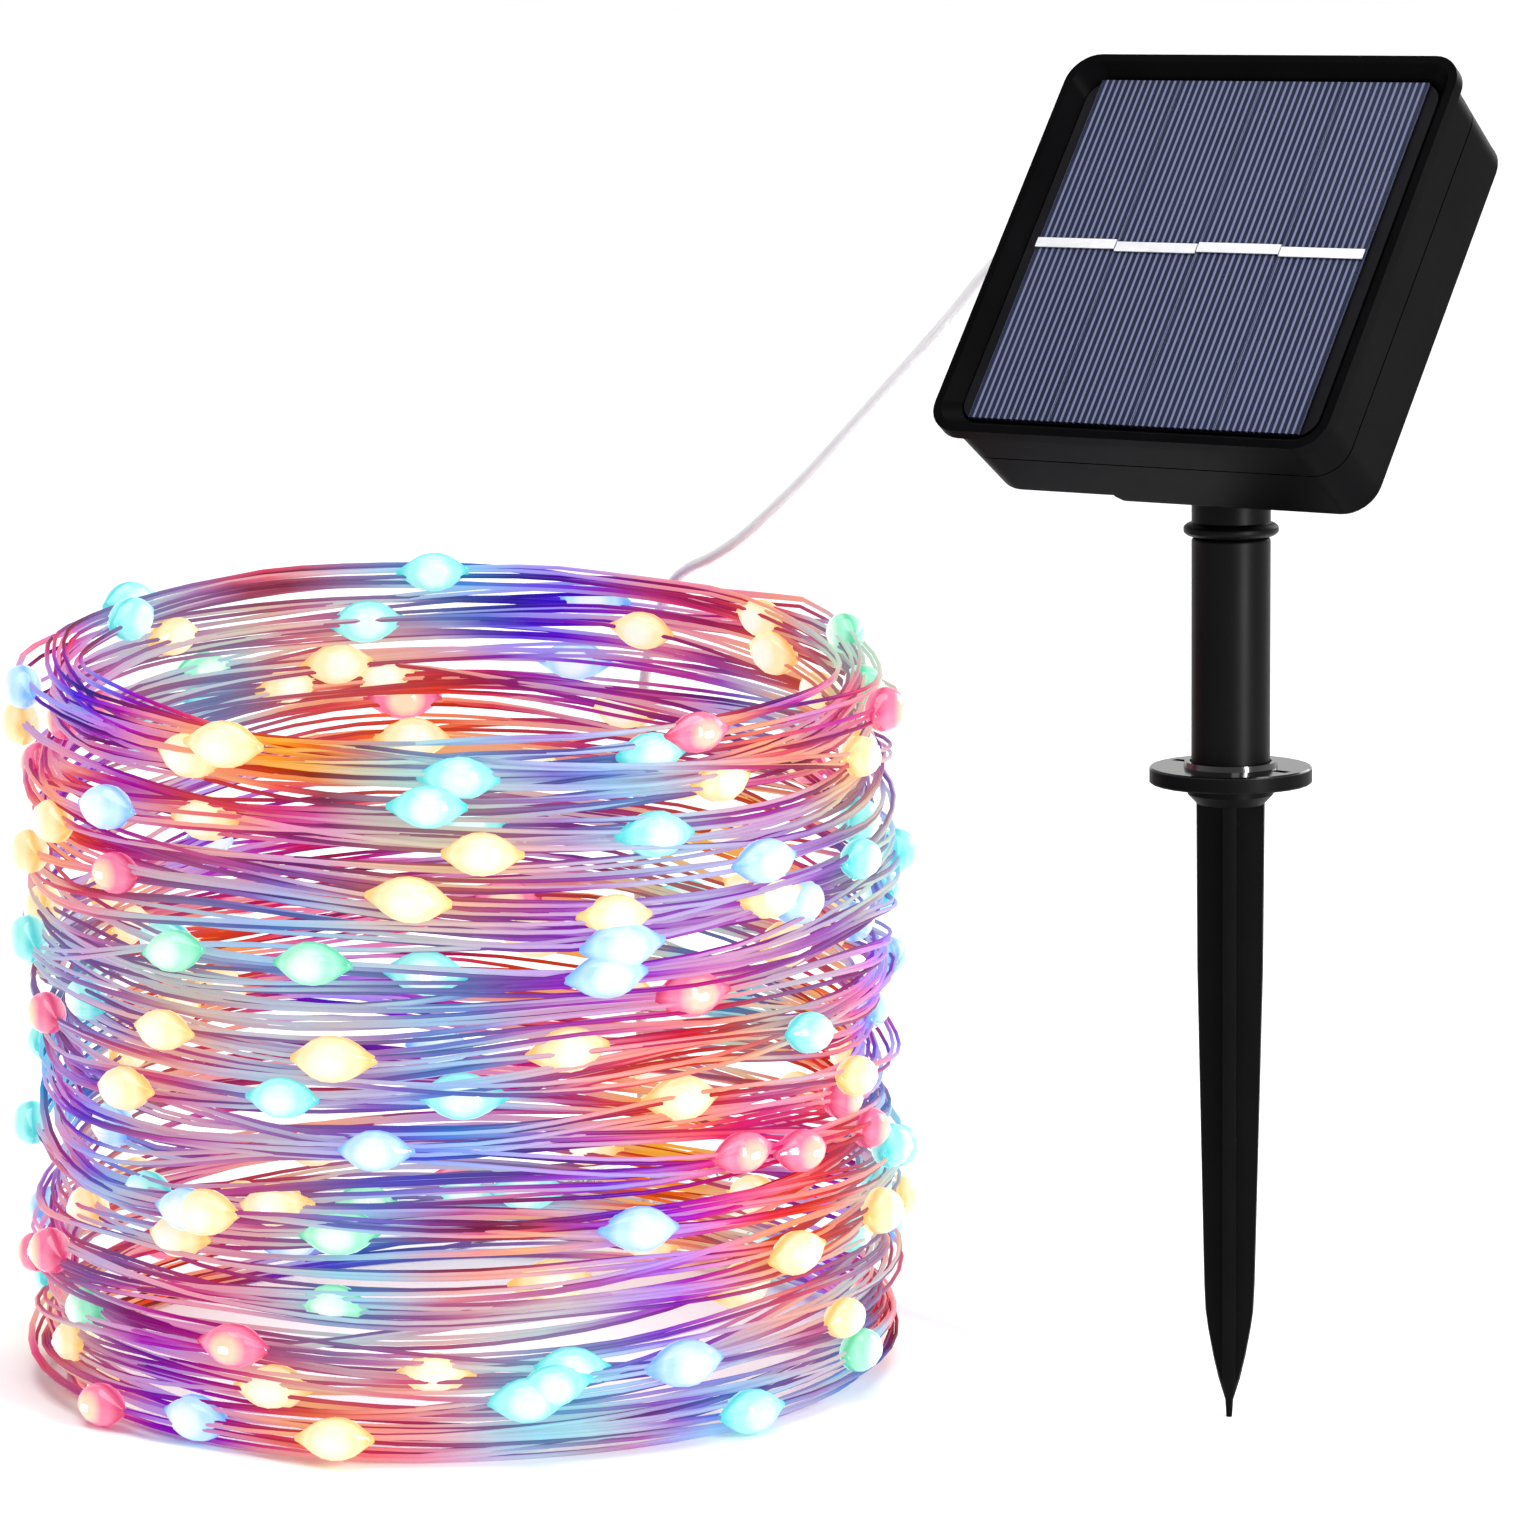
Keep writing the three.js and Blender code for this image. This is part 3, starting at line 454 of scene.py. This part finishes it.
for kind, (vs, fs, cs) in built.items():
    obj = mesh_object(f"light_drops_{kind}", vs, fs)
    obj.data.attributes.new("core", "FLOAT", "POINT").data.foreach_set("value", np.array(cs, np.float32))
    drop_objects[kind] = obj
chips = mesh_object("light_chips", chip_vertices, chip_faces, False)

# ------------------------------------------------ colour of the wires, painted light of the drops on them
# Each family of painted coloured light: a brightly lit wire, a middling one and a dark one in painted shade.
PAINTED_LIGHT_FAMILIES = {
    "violet": (linear(0.77, 0.58, 0.97), linear(0.50, 0.27, 0.86), linear(0.15, 0.05, 0.38)),
    "magenta": (linear(0.94, 0.54, 0.90), linear(0.82, 0.25, 0.73), linear(0.32, 0.04, 0.26)),
    "blue": (linear(0.58, 0.67, 1.0), linear(0.26, 0.28, 0.90), linear(0.06, 0.04, 0.44)),
    "rose": (linear(0.98, 0.57, 0.64), linear(0.87, 0.24, 0.34), linear(0.36, 0.05, 0.09)),
    "amber": (linear(1.0, 0.72, 0.42), linear(0.91, 0.41, 0.12), linear(0.34, 0.10, 0.04)),
    "aqua": (linear(0.56, 0.93, 0.95), linear(0.20, 0.67, 0.79), linear(0.05, 0.24, 0.40)),
}
SHARES = {"violet": 1.2, "magenta": 1.1, "blue": 0.6, "rose": 0.8, "amber": 0.7, "aqua": -1.1}
FAMILY_CONTRAST = 3.6
# The family of painted glow on the wires near each kind of drop, how far that painted glow reaches and how
# strong it is.
PAINTED_DROP_GLOW = {"warm": "amber", "cyan": "aqua", "ice": "blue", "red": "rose", "green": "aqua"}
NEAR_REACH, NEAR_PULL = 13 * MM, 2.2
SATURATION = 1.3
# How much darker or lighter each of the three wires is painted: painted shade on the darker ones, painted
# light on the lighter ones.
PAINTED_STRAND_SHADE = (-0.6, 0.0, 0.75)


def painted_light_weights(points):
    """How much of each family of painted coloured light there is at places on the coil's wall. It changes
    slowly round it and up it.
    """
    rng = random.Random(77)
    angle = np.arctan2(points[:, 1] - COIL_Y, points[:, 0] - COIL_X)
    height = (points[:, 2] - FLOOR) / WALL_HEIGHT
    weights = []
    for share in SHARES.values():
        w = np.full(len(points), share)
        for size in (1.1, 0.9, 0.7):
            rounds, rise = rng.choice((1, 2, 3, 4, 6)), rng.uniform(-15, 15)
            w += size * np.sin(rounds * angle + rise * height + rng.uniform(0, 6.28))
        weights.append(np.exp(FAMILY_CONTRAST * w))
    weights = np.stack(weights, -1)
    return weights / weights.sum(1, keepdims=True)


def painted_wire_light():
    """The colour of every vertex of the wires, as light: the drops' painted glow, painted lighter near them,
    with painted shade on the darker wires.
    """
    centres = np.array(drop_centres)
    names = list(PAINTED_LIGHT_FAMILIES)
    family_of_drop = np.array([names.index(PAINTED_DROP_GLOW[kind]) for kind in drop_kinds])
    tones = np.array([PAINTED_LIGHT_FAMILIES[name] for name in names])
    result = np.zeros((len(ring_of), 3))
    t = np.arange(len(string_line))
    for number, line in enumerate(strands):
        weights = painted_light_weights(line)
        # Painted glow: near each drop the wire is painted in the colour of that drop's light.
        gap = np.linalg.norm(line[:, None, :] - centres[None, :, :], axis=2)
        near = np.exp(-(gap / NEAR_REACH) ** 2)
        pull = np.stack([near[:, family_of_drop == k].sum(1) for k in range(len(names))], -1)
        weights = weights + NEAR_PULL * pull
        weights /= weights.sum(1, keepdims=True)
        # Painted shade and painted light: some wires and stretches are painted dark as if in shade, others
        # light as if lit.
        painted_shade_level = wander(90 + number, [(0.009, 1.0), (0.043, 0.8), (0.12, 0.5)])(t) + PAINTED_STRAND_SHADE[number]
        painted_shade_level = 0.5 + 0.5 * np.tanh(1.5 * painted_shade_level + 0.1)
        # Painted light: a wire is painted lighter near a drop.
        painted_shade_level = np.clip(painted_shade_level - 0.3 * np.clip(near.sum(1), 0, 1), 0, 1)
        light = np.clip(1 - 2 * painted_shade_level, 0, 1)[:, None]
        dark = np.clip(2 * painted_shade_level - 1, 0, 1)[:, None]
        tone = [weights @ tones[:, k] for k in range(3)]
        colour = tone[0] * light + tone[1] * (1 - light - dark) + tone[2] * dark
        grey = colour.mean(1, keepdims=True)
        colour = np.clip(grey + SATURATION * (colour - grey), 0, 1)
        mine = strand_of == number
        result[mine] = colour[ring_of[mine]]
    return result


# The painted light of the drops on the wires, kept as a colour on their vertices.
colours = np.concatenate([painted_wire_light(), np.ones((len(ring_of), 1))], 1).astype(np.float32)
wire.data.color_attributes.new("painted_glow_tint", "FLOAT_COLOR", "POINT").data.foreach_set("color", colours.ravel())

# ------------------------------------------------ the string's end cap and the spare lead's ties
# Places along the cap from the string's end, and its radius there, in millimetres.
CAP_PLACES = (-3, -2.2, -1, 1, 3, 5, 6.2, 6.8, 7)
CAP_RADII = np.array([1.5, 1.7, 1.75, 1.75, 1.7, 1.7, 1.5, 1.0, 0.5])
string_end = string_line[-1]
end_along = unit(string_line[-1] - string_line[-3])
end_points = [string_end + end_along * d * MM for d in CAP_PLACES]
end_cap = mesh_object("light_end_cap", *tube(end_points, CAP_RADII * MM, 16))

TIE_ANGLES = (math.radians(55), math.radians(235))
TIE_THICKNESS = 0.3 * MM


def tie_arrays(angle):
    """A flat band round the spare turns' section, closed on itself."""
    low, high = spare_low.z + 0.35 * MM, FLOOR + 2 * LEAD_DIAMETER * 2 + 0.6 * MM
    inner = SPARE_INNER - LEAD_DIAMETER / 2
    outer = SPARE_INNER + SPARE_PITCH * (SPARE_COLUMNS - 1) + LEAD_DIAMETER / 2
    radial = np.array([math.cos(angle), math.sin(angle), 0])
    sideways = np.array([-math.sin(angle), math.cos(angle), 0])
    corner, loop = 1.2 * MM, []
    centres = ((inner + corner, low + corner, 180), (outer - corner, low + corner, 270),
               (outer - corner, high - corner, 0), (inner + corner, high - corner, 90))
    for r, z, first in centres:
        for k in range(6):
            a = math.radians(first + 18 * k)
            reach = corner + TIE_THICKNESS
            loop.append((r + reach * math.cos(a), z + reach * math.sin(a)))
    middle = np.array([(inner + outer) / 2, (low + high) / 2])
    vertices = []
    for r, z in loop:
        out = np.array([r, z]) - middle
        out = out / np.linalg.norm(out) * TIE_THICKNESS
        for (dr, dz), w in (((0, 0), -1.6), (out, -1.5), (out, 1.5), ((0, 0), 1.6)):
            place = np.array([SPARE_X, SPARE_Y, z + dz]) + radial * (r + dr) + sideways * w * MM
            vertices.append(place)
    count = len(loop)
    faces = []
    for i in range(count):
        j = (i + 1) % count
        faces += [(i * 4 + k, i * 4 + (k + 1) % 4, j * 4 + (k + 1) % 4, j * 4 + k) for k in range(4)]
    return vertices, faces


ties = []
for number, angle in enumerate(TIE_ANGLES, 1):
    ties.append(mesh_object(f"lead_tie_{number}", *tie_arrays(angle)))

# ------------------------------------------------ materials
def new_material(name):
    material = bpy.data.materials.new(name)
    material.use_nodes = True
    nodes, links = material.node_tree.nodes, material.node_tree.links
    return material, nodes, links, nodes["Principled BSDF"]


def noise(nodes, links, scale, detail=3):
    place = nodes.new("ShaderNodeTexCoord")
    texture = nodes.new("ShaderNodeTexNoise")
    texture.inputs["Scale"].default_value = scale
    texture.inputs["Detail"].default_value = detail
    links.new(place.outputs["Object"], texture.inputs["Vector"])
    return texture.outputs["Fac"]


def ramp(nodes, links, value, stops):
    node = nodes.new("ShaderNodeValToRGB")
    elements = node.color_ramp.elements
    while len(elements) < len(stops):
        elements.new(0.5)
    for element, (at, colour) in zip(elements, stops):
        element.position = at
        element.color = (*colour, 1)
    links.new(value, node.inputs["Fac"])
    return node.outputs["Color"]


def mapped(nodes, links, value, low, high, start=0, end=1):
    """A value that goes from low to high while the given one goes from start to end."""
    node = nodes.new("ShaderNodeMapRange")
    node.inputs["From Min"].default_value = start
    node.inputs["From Max"].default_value = end
    node.inputs["To Min"].default_value = low
    node.inputs["To Max"].default_value = high
    links.new(value, node.inputs["Value"])
    return node.outputs["Result"]


def coordinate(nodes, links, axis):
    """One of an object's own coordinates."""
    place = nodes.new("ShaderNodeTexCoord")
    split = nodes.new("ShaderNodeSeparateXYZ")
    links.new(place.outputs["Object"], split.inputs["Vector"])
    return split.outputs[axis]


def bump(nodes, links, height, strength, distance, shader):
    node = nodes.new("ShaderNodeBump")
    node.inputs["Strength"].default_value = strength
    node.inputs["Distance"].default_value = distance
    links.new(height, node.inputs["Height"])
    links.new(node.outputs["Normal"], shader.inputs["Normal"])


def plastic(name, low, high, roughness=(0.34, 0.46), grain=2400, depth=0.02, shine=0.5, polished_above=None):
    """A moulded plastic with a fine grain. Above a height of its object it can be polished."""
    material, nodes, links, shader = new_material(name)
    tones = ramp(nodes, links, noise(nodes, links, 55), [(0.3, low), (0.7, high)])
    links.new(tones, shader.inputs["Base Color"])
    rough = mapped(nodes, links, noise(nodes, links, 130), *roughness)
    shader.inputs["Specular IOR Level"].default_value = shine
    if polished_above is not None:
        height = coordinate(nodes, links, "Z")
        fade = (polished_above - 0.3 * MM, polished_above)
        product = nodes.new("ShaderNodeMath")
        product.operation = "MULTIPLY"
        links.new(rough, product.inputs[0])
        links.new(mapped(nodes, links, height, 1, 0.3, *fade), product.inputs[1])
        rough = product.outputs["Value"]
        links.new(mapped(nodes, links, height, shine, 0.8, *fade), shader.inputs["Specular IOR Level"])
    links.new(rough, shader.inputs["Roughness"])
    bump(nodes, links, noise(nodes, links, grain, 2), 0.25, depth * MM, shader)
    return material


def metal(name, low, high, roughness=(0.22, 0.36)):
    """A bright plated metal with a fine unevenness."""
    material, nodes, links, shader = new_material(name)
    shader.inputs["Metallic"].default_value = 1
    tones = ramp(nodes, links, noise(nodes, links, 400), [(0.3, low), (0.7, high)])
    links.new(tones, shader.inputs["Base Color"])
    links.new(mapped(nodes, links, noise(nodes, links, 900), *roughness), shader.inputs["Roughness"])
    bump(nodes, links, noise(nodes, links, 3000, 2), 0.15, 0.01 * MM, shader)
    return material


def wire_material():
    """Lacquered copper with the drops' light painted on: part of the painted glow tint goes into its base
    colour beside its own dark colour, and all of it is its emission, so the wire glows though it is no lamp.
    """
    material, nodes, links, shader = new_material("lacquered_wire")
    colour = nodes.new("ShaderNodeVertexColor")
    colour.layer_name = "painted_glow_tint"
    own = nodes.new("ShaderNodeMix")
    own.data_type = "RGBA"
    links.new(mapped(nodes, links, noise(nodes, links, 300), 0.12, 0.20), own.inputs["Factor"])
    own.inputs["A"].default_value = (0.01, 0.004, 0.008, 1)
    links.new(colour.outputs["Color"], own.inputs["B"])
    links.new(own.outputs["Result"], shader.inputs["Base Color"])
    # Painted light: the wire glows with the drops' painted glow though it is no lamp.
    links.new(colour.outputs["Color"], shader.inputs["Emission Color"])
    shader.inputs["Emission Strength"].default_value = 0.74
    shader.inputs["Specular IOR Level"].default_value = 0.1
    links.new(mapped(nodes, links, noise(nodes, links, 700), 0.3, 0.5), shader.inputs["Roughness"])
    bump(nodes, links, noise(nodes, links, 1800, 2), 0.3, 0.02 * MM, shader)
    return material


def drop_material(kind):
    """Clear resin full of light, palest in its middle."""
    edge, body, middle = TINTS[kind]
    material, nodes, links, shader = new_material(f"drop_{kind}")
    core = nodes.new("ShaderNodeAttribute")
    core.attribute_name = "core"
    stops = [(0.05, edge), (0.38, body), (0.62, body), (0.88, middle)]
    links.new(ramp(nodes, links, core.outputs["Fac"], stops), shader.inputs["Emission Color"])
    shader.inputs["Emission Strength"].default_value = 0.85
    dim_edge, dim_body = (tuple(0.22 * c for c in tint) for tint in (edge, body))
    dim = ramp(nodes, links, noise(nodes, links, 300), [(0.3, dim_edge), (0.7, dim_body)])
    links.new(dim, shader.inputs["Base Color"])
    links.new(mapped(nodes, links, noise(nodes, links, 500), 0.08, 0.2), shader.inputs["Roughness"])
    bump(nodes, links, noise(nodes, links, 350, 2), 0.2, 0.15 * MM, shader)
    return material


def chip_material():
    """The pale yellow coating of a lit chip."""
    material, nodes, links, shader = new_material("light_chip")
    stops = [(0.35, (1.0, 0.78, 0.42)), (0.65, (1.0, 0.94, 0.80))]
    pale = ramp(nodes, links, noise(nodes, links, 900), stops)
    links.new(pale, shader.inputs["Base Color"])
    links.new(pale, shader.inputs["Emission Color"])
    shader.inputs["Emission Strength"].default_value = 1.0
    links.new(mapped(nodes, links, noise(nodes, links, 500), 0.2, 0.4), shader.inputs["Roughness"])
    return material


def lead_material():
    """Milky clear plastic with a glossy skin."""
    material, nodes, links, shader = new_material("clear_cord")
    stops = [(0.35, (0.74, 0.75, 0.76)), (0.65, (0.80, 0.81, 0.82))]
    links.new(ramp(nodes, links, noise(nodes, links, 90), stops), shader.inputs["Base Color"])
    links.new(mapped(nodes, links, noise(nodes, links, 500), 0.16, 0.3), shader.inputs["Roughness"])
    shader.inputs["Coat Weight"].default_value = 0.4
    bump(nodes, links, noise(nodes, links, 900, 2), 0.05, 0.02 * MM, shader)
    return material


def cell_material():
    """Dark blue silicon with fine pale fingers that run up the panel."""
    material, nodes, links, shader = new_material("silicon_cell")
    repeat = nodes.new("ShaderNodeMath")
    repeat.operation = "PINGPONG"
    links.new(coordinate(nodes, links, "X"), repeat.inputs[0])
    repeat.inputs[1].default_value = FINGER_PITCH / 2
    finger = mapped(nodes, links, repeat.outputs["Value"], 1, 0, *FINGER_EDGE)
    stops = [(0.3, (0.006, 0.008, 0.024)), (0.7, (0.009, 0.012, 0.033))]
    mix = nodes.new("ShaderNodeMix")
    mix.data_type = "RGBA"
    links.new(finger, mix.inputs["Factor"])
    links.new(ramp(nodes, links, noise(nodes, links, 45, 4), stops), mix.inputs["A"])
    mix.inputs["B"].default_value = (0.120, 0.134, 0.225, 1)
    links.new(mix.outputs["Result"], shader.inputs["Base Color"])
    links.new(mapped(nodes, links, noise(nodes, links, 160), 0.2, 0.32), shader.inputs["Roughness"])
    shader.inputs["Specular IOR Level"].default_value = 0.25
    bump(nodes, links, finger, 0.3, 0.03 * MM, shader)
    return material


# The fingers' spacing, and how far from its middle line a finger begins and stops to fade.
FINGER_PITCH = 1.32 * MM
FINGER_EDGE = (0.16 * MM, 0.30 * MM)
BLACK = ((0.0008, 0.0008, 0.0010), (0.0015, 0.0015, 0.0018))
POLISHED_ABOVE = 2.9 * MM
black = plastic("black_plastic", *BLACK, (0.34, 0.44), shine=0.018)
pole_black = plastic("pole_plastic", *BLACK, (0.36, 0.44), shine=0.07)
stake_black = plastic("stake_plastic", *BLACK, (0.38, 0.48), shine=0.045, polished_above=POLISHED_ABOVE)
board = plastic("board_black", (0.003, 0.003, 0.004), (0.006, 0.006, 0.008), (0.3, 0.42), 1200, shine=0.08)
rubber = plastic("dark_rubber", (0.008, 0.008, 0.008), (0.013, 0.013, 0.014), (0.6, 0.75), 3000, 0.04, 0.25)
steel = metal("plated_steel", (0.5, 0.5, 0.52), (0.64, 0.64, 0.66))
ribbon = metal("tinned_ribbon", (0.88, 0.89, 0.91), (0.98, 0.98, 1.0), (0.3, 0.5))
green = plastic("circuit_green", (0.01, 0.09, 0.035), (0.02, 0.14, 0.055), (0.3, 0.4), 900)
wrap = plastic("battery_sleeve", (0.03, 0.24, 0.07), (0.05, 0.32, 0.11), (0.2, 0.3), 700)
red_wire = plastic("red_wire", (0.4, 0.02, 0.015), (0.52, 0.03, 0.02))
cell = cell_material()
clear = lead_material()
wire.data.materials.append(wire_material())
lead.data.materials.append(clear)
for kind, obj in drop_objects.items():
    obj.data.materials.append(drop_material(kind))
chips.data.materials.append(chip_material())
end_cap.data.materials.append(clear)
tie_look = plastic("tie_band", (0.70, 0.71, 0.72), (0.80, 0.80, 0.81), (0.4, 0.55), 900)
for tie in ties:
    tie.data.materials.append(tie_look)

# The look of each CAD node that stays, by the start of its name. The last one that fits counts.
LOOKS = {
    "battery": wrap, "battery_plate": ribbon, "battery_spring": steel,
    "front_bezel": black, "rear_case": black, "tilt_bracket": black, "tilt_knob": black,
    "pole_head": pole_black, "pole_tube": pole_black, "ground_spike": stake_black,
    "case_seal": rubber, "cable_grommet": rubber, "power_button": rubber, "mode_button": rubber,
    "panel_wire_negative": rubber, "battery_wire_negative": rubber,
    "panel_wire_positive": red_wire, "battery_wire_positive": red_wire,
    "case_screw": steel, "bracket_screw": steel, "tilt_bolt": steel, "busbar": ribbon, "solar_cell": cell,
    "pv_board": board, "controller_chip": board, "power_switch": board, "mode_switch": board,
    "circuit_board": green, "junction_sleeve": clear,
}
for name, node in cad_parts.items():
    look = None
    for start, material in LOOKS.items():
        if name.startswith(start):
            look = material
    if look is None:
        continue
    node.data.materials.clear()
    node.data.materials.append(look)
    if name.startswith(("solar_cell", "busbar", "pv_board")):
        continue
    node.data.polygons.foreach_set("use_smooth", [True] * len(node.data.polygons))
    weld = node.modifiers.new("weld", "WELD")
    weld.merge_threshold = 1e-5
    flat = node.modifiers.new("flat", "DECIMATE")
    flat.decimate_type = "DISSOLVE"
    flat.angle_limit = math.radians(0.5)
    edges = node.modifiers.new("edges", "BEVEL")
    edges.width = 0.25 * MM
    edges.segments = 2
    edges.limit_method = "ANGLE"
    edges.angle_limit = math.radians(28)
    normals = node.modifiers.new("normals", "WEIGHTED_NORMAL")
    normals.keep_sharp = False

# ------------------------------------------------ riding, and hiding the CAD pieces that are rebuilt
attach(wire, "stake")
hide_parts("string_start", "string_coil")
string_pieces = [*drop_objects.values(), chips, end_cap]
for obj in string_pieces:
    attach(obj, "stake")
for tie in ties:
    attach(tie, "stake")
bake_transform(lead)
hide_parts("lead_cable", "lead_coil", "lead_tail")

# ------------------------------------------------ floor and light
REACH = 60
floor = mesh_object(
    "floor", [(x * REACH, y * REACH, FLOOR - 0.05 * MM) for x, y in ((-1, -1), (1, -1), (1, 1), (-1, 1))],
    [(0, 1, 2, 3)], False)
floor_look, nodes, links, shader = new_material("pale_floor")
FLOOR_TONES = [(0.3, (0.90, 0.90, 0.90)), (0.7, (0.92, 0.92, 0.92))]
links.new(ramp(nodes, links, noise(nodes, links, 3), FLOOR_TONES), shader.inputs["Base Color"])
shader.inputs["Roughness"].default_value = 0.9
shader.inputs["Specular IOR Level"].default_value = 0.1
floor.data.materials.append(floor_look)

# The surroundings are white round the horizon and dimmer above.
WHITE, DIM = (1, 1, 1), (0.34, 0.34, 0.34)
world = bpy.data.worlds.new("studio")
SCENE.world = world
world.use_nodes = True
nodes, links = world.node_tree.nodes, world.node_tree.links
place = nodes.new("ShaderNodeTexCoord")
split = nodes.new("ShaderNodeSeparateXYZ")
links.new(place.outputs["Generated"], split.inputs["Vector"])
sky = ramp(nodes, links, split.outputs["Z"], [(0.0, WHITE), (0.12, WHITE), (0.3, DIM), (1.0, DIM)])
links.new(sky, nodes["Background"].inputs["Color"])
nodes["Background"].inputs["Strength"].default_value = 1.0

sun = bpy.data.objects.new("overhead", bpy.data.lights.new("overhead", "SUN"))
sun.data.energy = 3.0
sun.data.angle = math.radians(60)
SCENE.collection.objects.link(sun)


def softbox(name, place, towards, size, power):
    light = bpy.data.objects.new(name, bpy.data.lights.new(name, "AREA"))
    light.data.shape = "RECTANGLE"
    light.data.size, light.data.size_y = size
    light.data.energy = power
    light.location = place
    light.rotation_euler = (Vector(towards) - Vector(place)).to_track_quat("-Z", "Y").to_euler()
    light.visible_camera = False
    SCENE.collection.objects.link(light)


STRIP_AZIMUTH, STRIP_AWAY, STRIP_HEIGHT = math.radians(72), 0.6, 0.17
strip_place = (STRIP_AWAY * math.sin(STRIP_AZIMUTH), -STRIP_AWAY * math.cos(STRIP_AZIMUTH), STRIP_HEIGHT)
softbox("strip", strip_place, (0, 0, STRIP_HEIGHT), (0.06, 0.55), 7)
softbox("key", (0.9, -0.9, 1.1), (0, 0, 0), (0.5, 0.8), 4)
softbox("back_fill", (0.1, 1.3, 0.5), (0, 0, 0.06), (0.7, 0.5), 4)
SCENE.view_settings.view_transform = "Standard"
